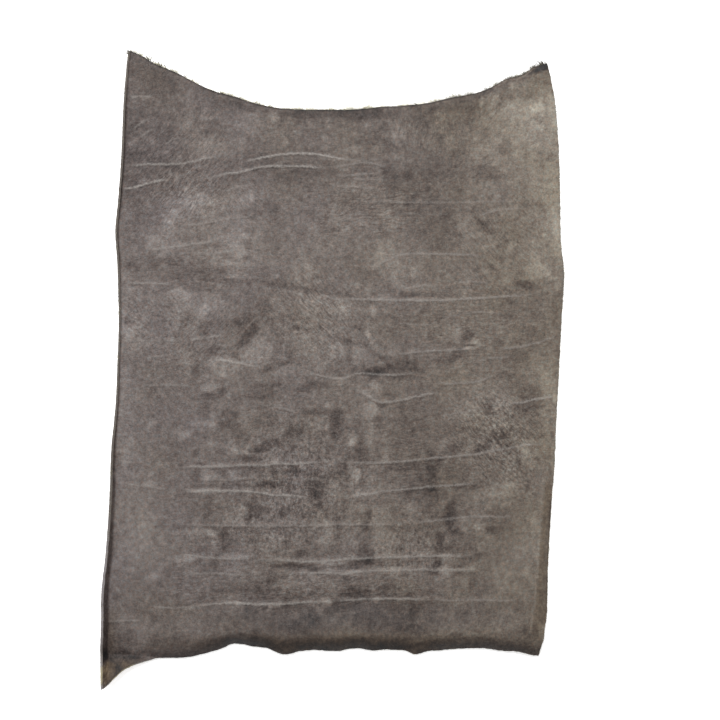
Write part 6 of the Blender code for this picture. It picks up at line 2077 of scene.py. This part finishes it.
def strand_of(fibre, hide, rng):
    """A fibre's points, from a place on the cut face that is drawn for it."""
    top, low = hide.at_ring(hide.grain), hide.at_ring(hide.flesh)
    outward = hide.outward[fibre.place]
    after = (fibre.place + 1) % len(top)
    depth = rng.uniform(*FIBRE_DEPTHS)
    grain_point = top[fibre.place] * (1 - fibre.share) + top[after] * fibre.share
    flesh_point = low[fibre.place] * (1 - fibre.share) + low[after] * fibre.share
    base = grain_point + (flesh_point - grain_point) * depth
    sideways = np.array([-outward[1], outward[0], 0])
    direction = outward + sideways * rng.normal(0, FIBRE_SIDEWAYS)
    if fibre.lean is not None:
        direction = np.array([math.cos(fibre.lean), math.sin(fibre.lean), 0])
    direction = unit(direction + np.array([0, 0, rng.normal(*FIBRE_RISE)]))
    curl = rng.normal(0, FIBRE_CURL, 3) + FIBRE_SAG
    strand = fibre_points(base - direction * FIBRE_ROOT, direction, curl, fibre)
    strand[:, 2] = np.maximum(strand[:, 2], FIBRE_LEAST_HEIGHT)
    return strand


def fibres_mesh(hide):
    """All the fibres as one mesh, with their darkness."""
    rng = np.random.default_rng(FIBRE_SEED)
    points, faces, darkness = [], [], []
    patterns = {segments: fibre_faces(segments) for segments in (EDGE_SEGMENTS, TUFT_SEGMENTS)}
    count = 0
    for fibre in [*edge_fibres(hide, rng), *tuft_fibres(hide, rng)]:
        strand = strand_of(fibre, hide, rng)
        points.append(strand)
        darkness.append(np.full(len(strand), fibre.darkness))
        faces.extend(tuple(count + j for j in face) for face in patterns[fibre.segments])
        count += len(strand)
    mesh = bpy.data.meshes.new("edge_fibres")
    mesh.from_pydata((np.vstack(points) * METRES).tolist(), [], faces)
    write_field(mesh, "darkness", np.concatenate(darkness))
    mesh.shade_smooth()
    return mesh


FIBRE_PALE = (0.44, 0.41, 0.26)
FIBRE_DARK = (0.06, 0.05, 0.045)
FIBRE_ROUGHNESS = 0.85


def fibre_material():
    shader = Shader("fibre")
    shader.dress(
        Base_Color=shader.between(shader.field("darkness"), FIBRE_PALE, FIBRE_DARK),
        Roughness=FIBRE_ROUGHNESS,
    )
    return shader.material


# ---- Putting it together ------------------------------------------------------------------------

def centred(meshes):
    """Moves the meshes together so that the first one's box is centred, in plan, on the origin."""
    points = np.empty(len(meshes[0].vertices) * 3, np.float32)
    meshes[0].vertices.foreach_get("co", points)
    points = points.reshape(-1, 3)
    middle = (points.min(axis=0) + points.max(axis=0)) / 2
    for mesh in meshes:
        own = np.empty(len(mesh.vertices) * 3, np.float32)
        mesh.vertices.foreach_get("co", own)
        own = own.reshape(-1, 3) - (middle[0], middle[1], 0)
        mesh.vertices.foreach_set("co", own.astype(np.float32).ravel())
        mesh.update()


def add_object(name, mesh, *materials):
    """A new object in the scene. Its mesh's slots are the materials, in their order."""
    made = bpy.data.objects.new(name, mesh)
    bpy.context.collection.objects.link(made)
    for material in materials:
        mesh.materials.append(material)
    return made


def one_side_area(hide):
    """The area of the grain side, measured over its relief."""
    across = np.diff(hide.grain, axis=1)[:-1]
    upwards = np.diff(hide.grain, axis=0)[:, :-1]
    return np.linalg.norm(np.cross(across, upwards), axis=2).sum() * METRES ** 2


# The lengths below are in metres.
FLOOR_SIZE = 14.0
FLOOR_DROP = 0.0004
FLOOR_COLOUR = (0.97, 0.97, 0.97)
FLOOR_GLOW = 0.45  # keeps the floor white under the lifted corner too, as a lit table does

CAMERA_OVER = (0.0404, 0.0126)
CAMERA_HEIGHT = 3.5
VIEW_WIDTH = 1.0656  # what the picture's width takes in, at the height of the grain
SENSOR = 36.0  # in millimetres
WHITE = (1, 1, 1, 1)

KEY_PLACE = (-0.45, 1.9, 2.4)
KEY_SIZE = 2.2
KEY_POWER = 104.0
SKY_STRENGTH = 0.60


def make_floor():
    """The white ground that the photo is taken on."""
    half = FLOOR_SIZE / 2
    mesh = bpy.data.meshes.new("floor")
    corners = [(-half, -half), (half, -half), (half, half), (-half, half)]
    mesh.from_pydata([(x, y, -FLOOR_DROP) for x, y in corners], [], [(0, 1, 2, 3)])
    shader = Shader("floor")
    shader.dress(
        Base_Color=(*FLOOR_COLOUR, 1),
        Roughness=1.0,
        Specular_IOR_Level=0.0,
        Emission_Color=WHITE,
        Emission_Strength=FLOOR_GLOW,
    )
    return add_object("floor", mesh, shader.material)


def make_light():
    """A broad lamp from the upper left, over an even sky."""
    data = bpy.data.lights.new("key", "AREA")
    data.shape = "DISK"
    data.size = KEY_SIZE
    data.energy = KEY_POWER
    lamp = bpy.data.objects.new("key", data)
    lamp.location = KEY_PLACE
    lamp.rotation_euler = (-Vector(KEY_PLACE)).to_track_quat("-Z", "Y").to_euler()
    bpy.context.collection.objects.link(lamp)
    world = bpy.data.worlds.new("studio")
    world.use_nodes = True
    sky = world.node_tree.nodes["Background"]
    sky.inputs["Color"].default_value = WHITE
    sky.inputs["Strength"].default_value = SKY_STRENGTH
    bpy.context.scene.world = world


def make_camera():
    """A camera that looks straight down, as the photo's does."""
    data = bpy.data.cameras.new("camera")
    data.sensor_width = SENSOR
    data.lens = SENSOR * (CAMERA_HEIGHT - THICKNESS * METRES) / VIEW_WIDTH
    camera = bpy.data.objects.new("camera", data)
    camera.location = (*CAMERA_OVER, CAMERA_HEIGHT)
    bpy.context.collection.objects.link(camera)
    bpy.context.scene.camera = camera


shape = Hide()
skin = hide_mesh(shape)
hair = fibres_mesh(shape)
centred([skin, hair])
hide = add_object("hide_skin", skin, grain_material(), cut_material(), flesh_material())
fibres = add_object("edge_fibres", hair, fibre_material())
floor = make_floor()
make_light()
make_camera()
bpy.context.scene.view_settings.view_transform = "Standard"

for piece in (hide, fibres):
    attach(piece, "root")
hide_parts("hide")
float(one_side_area(shape))
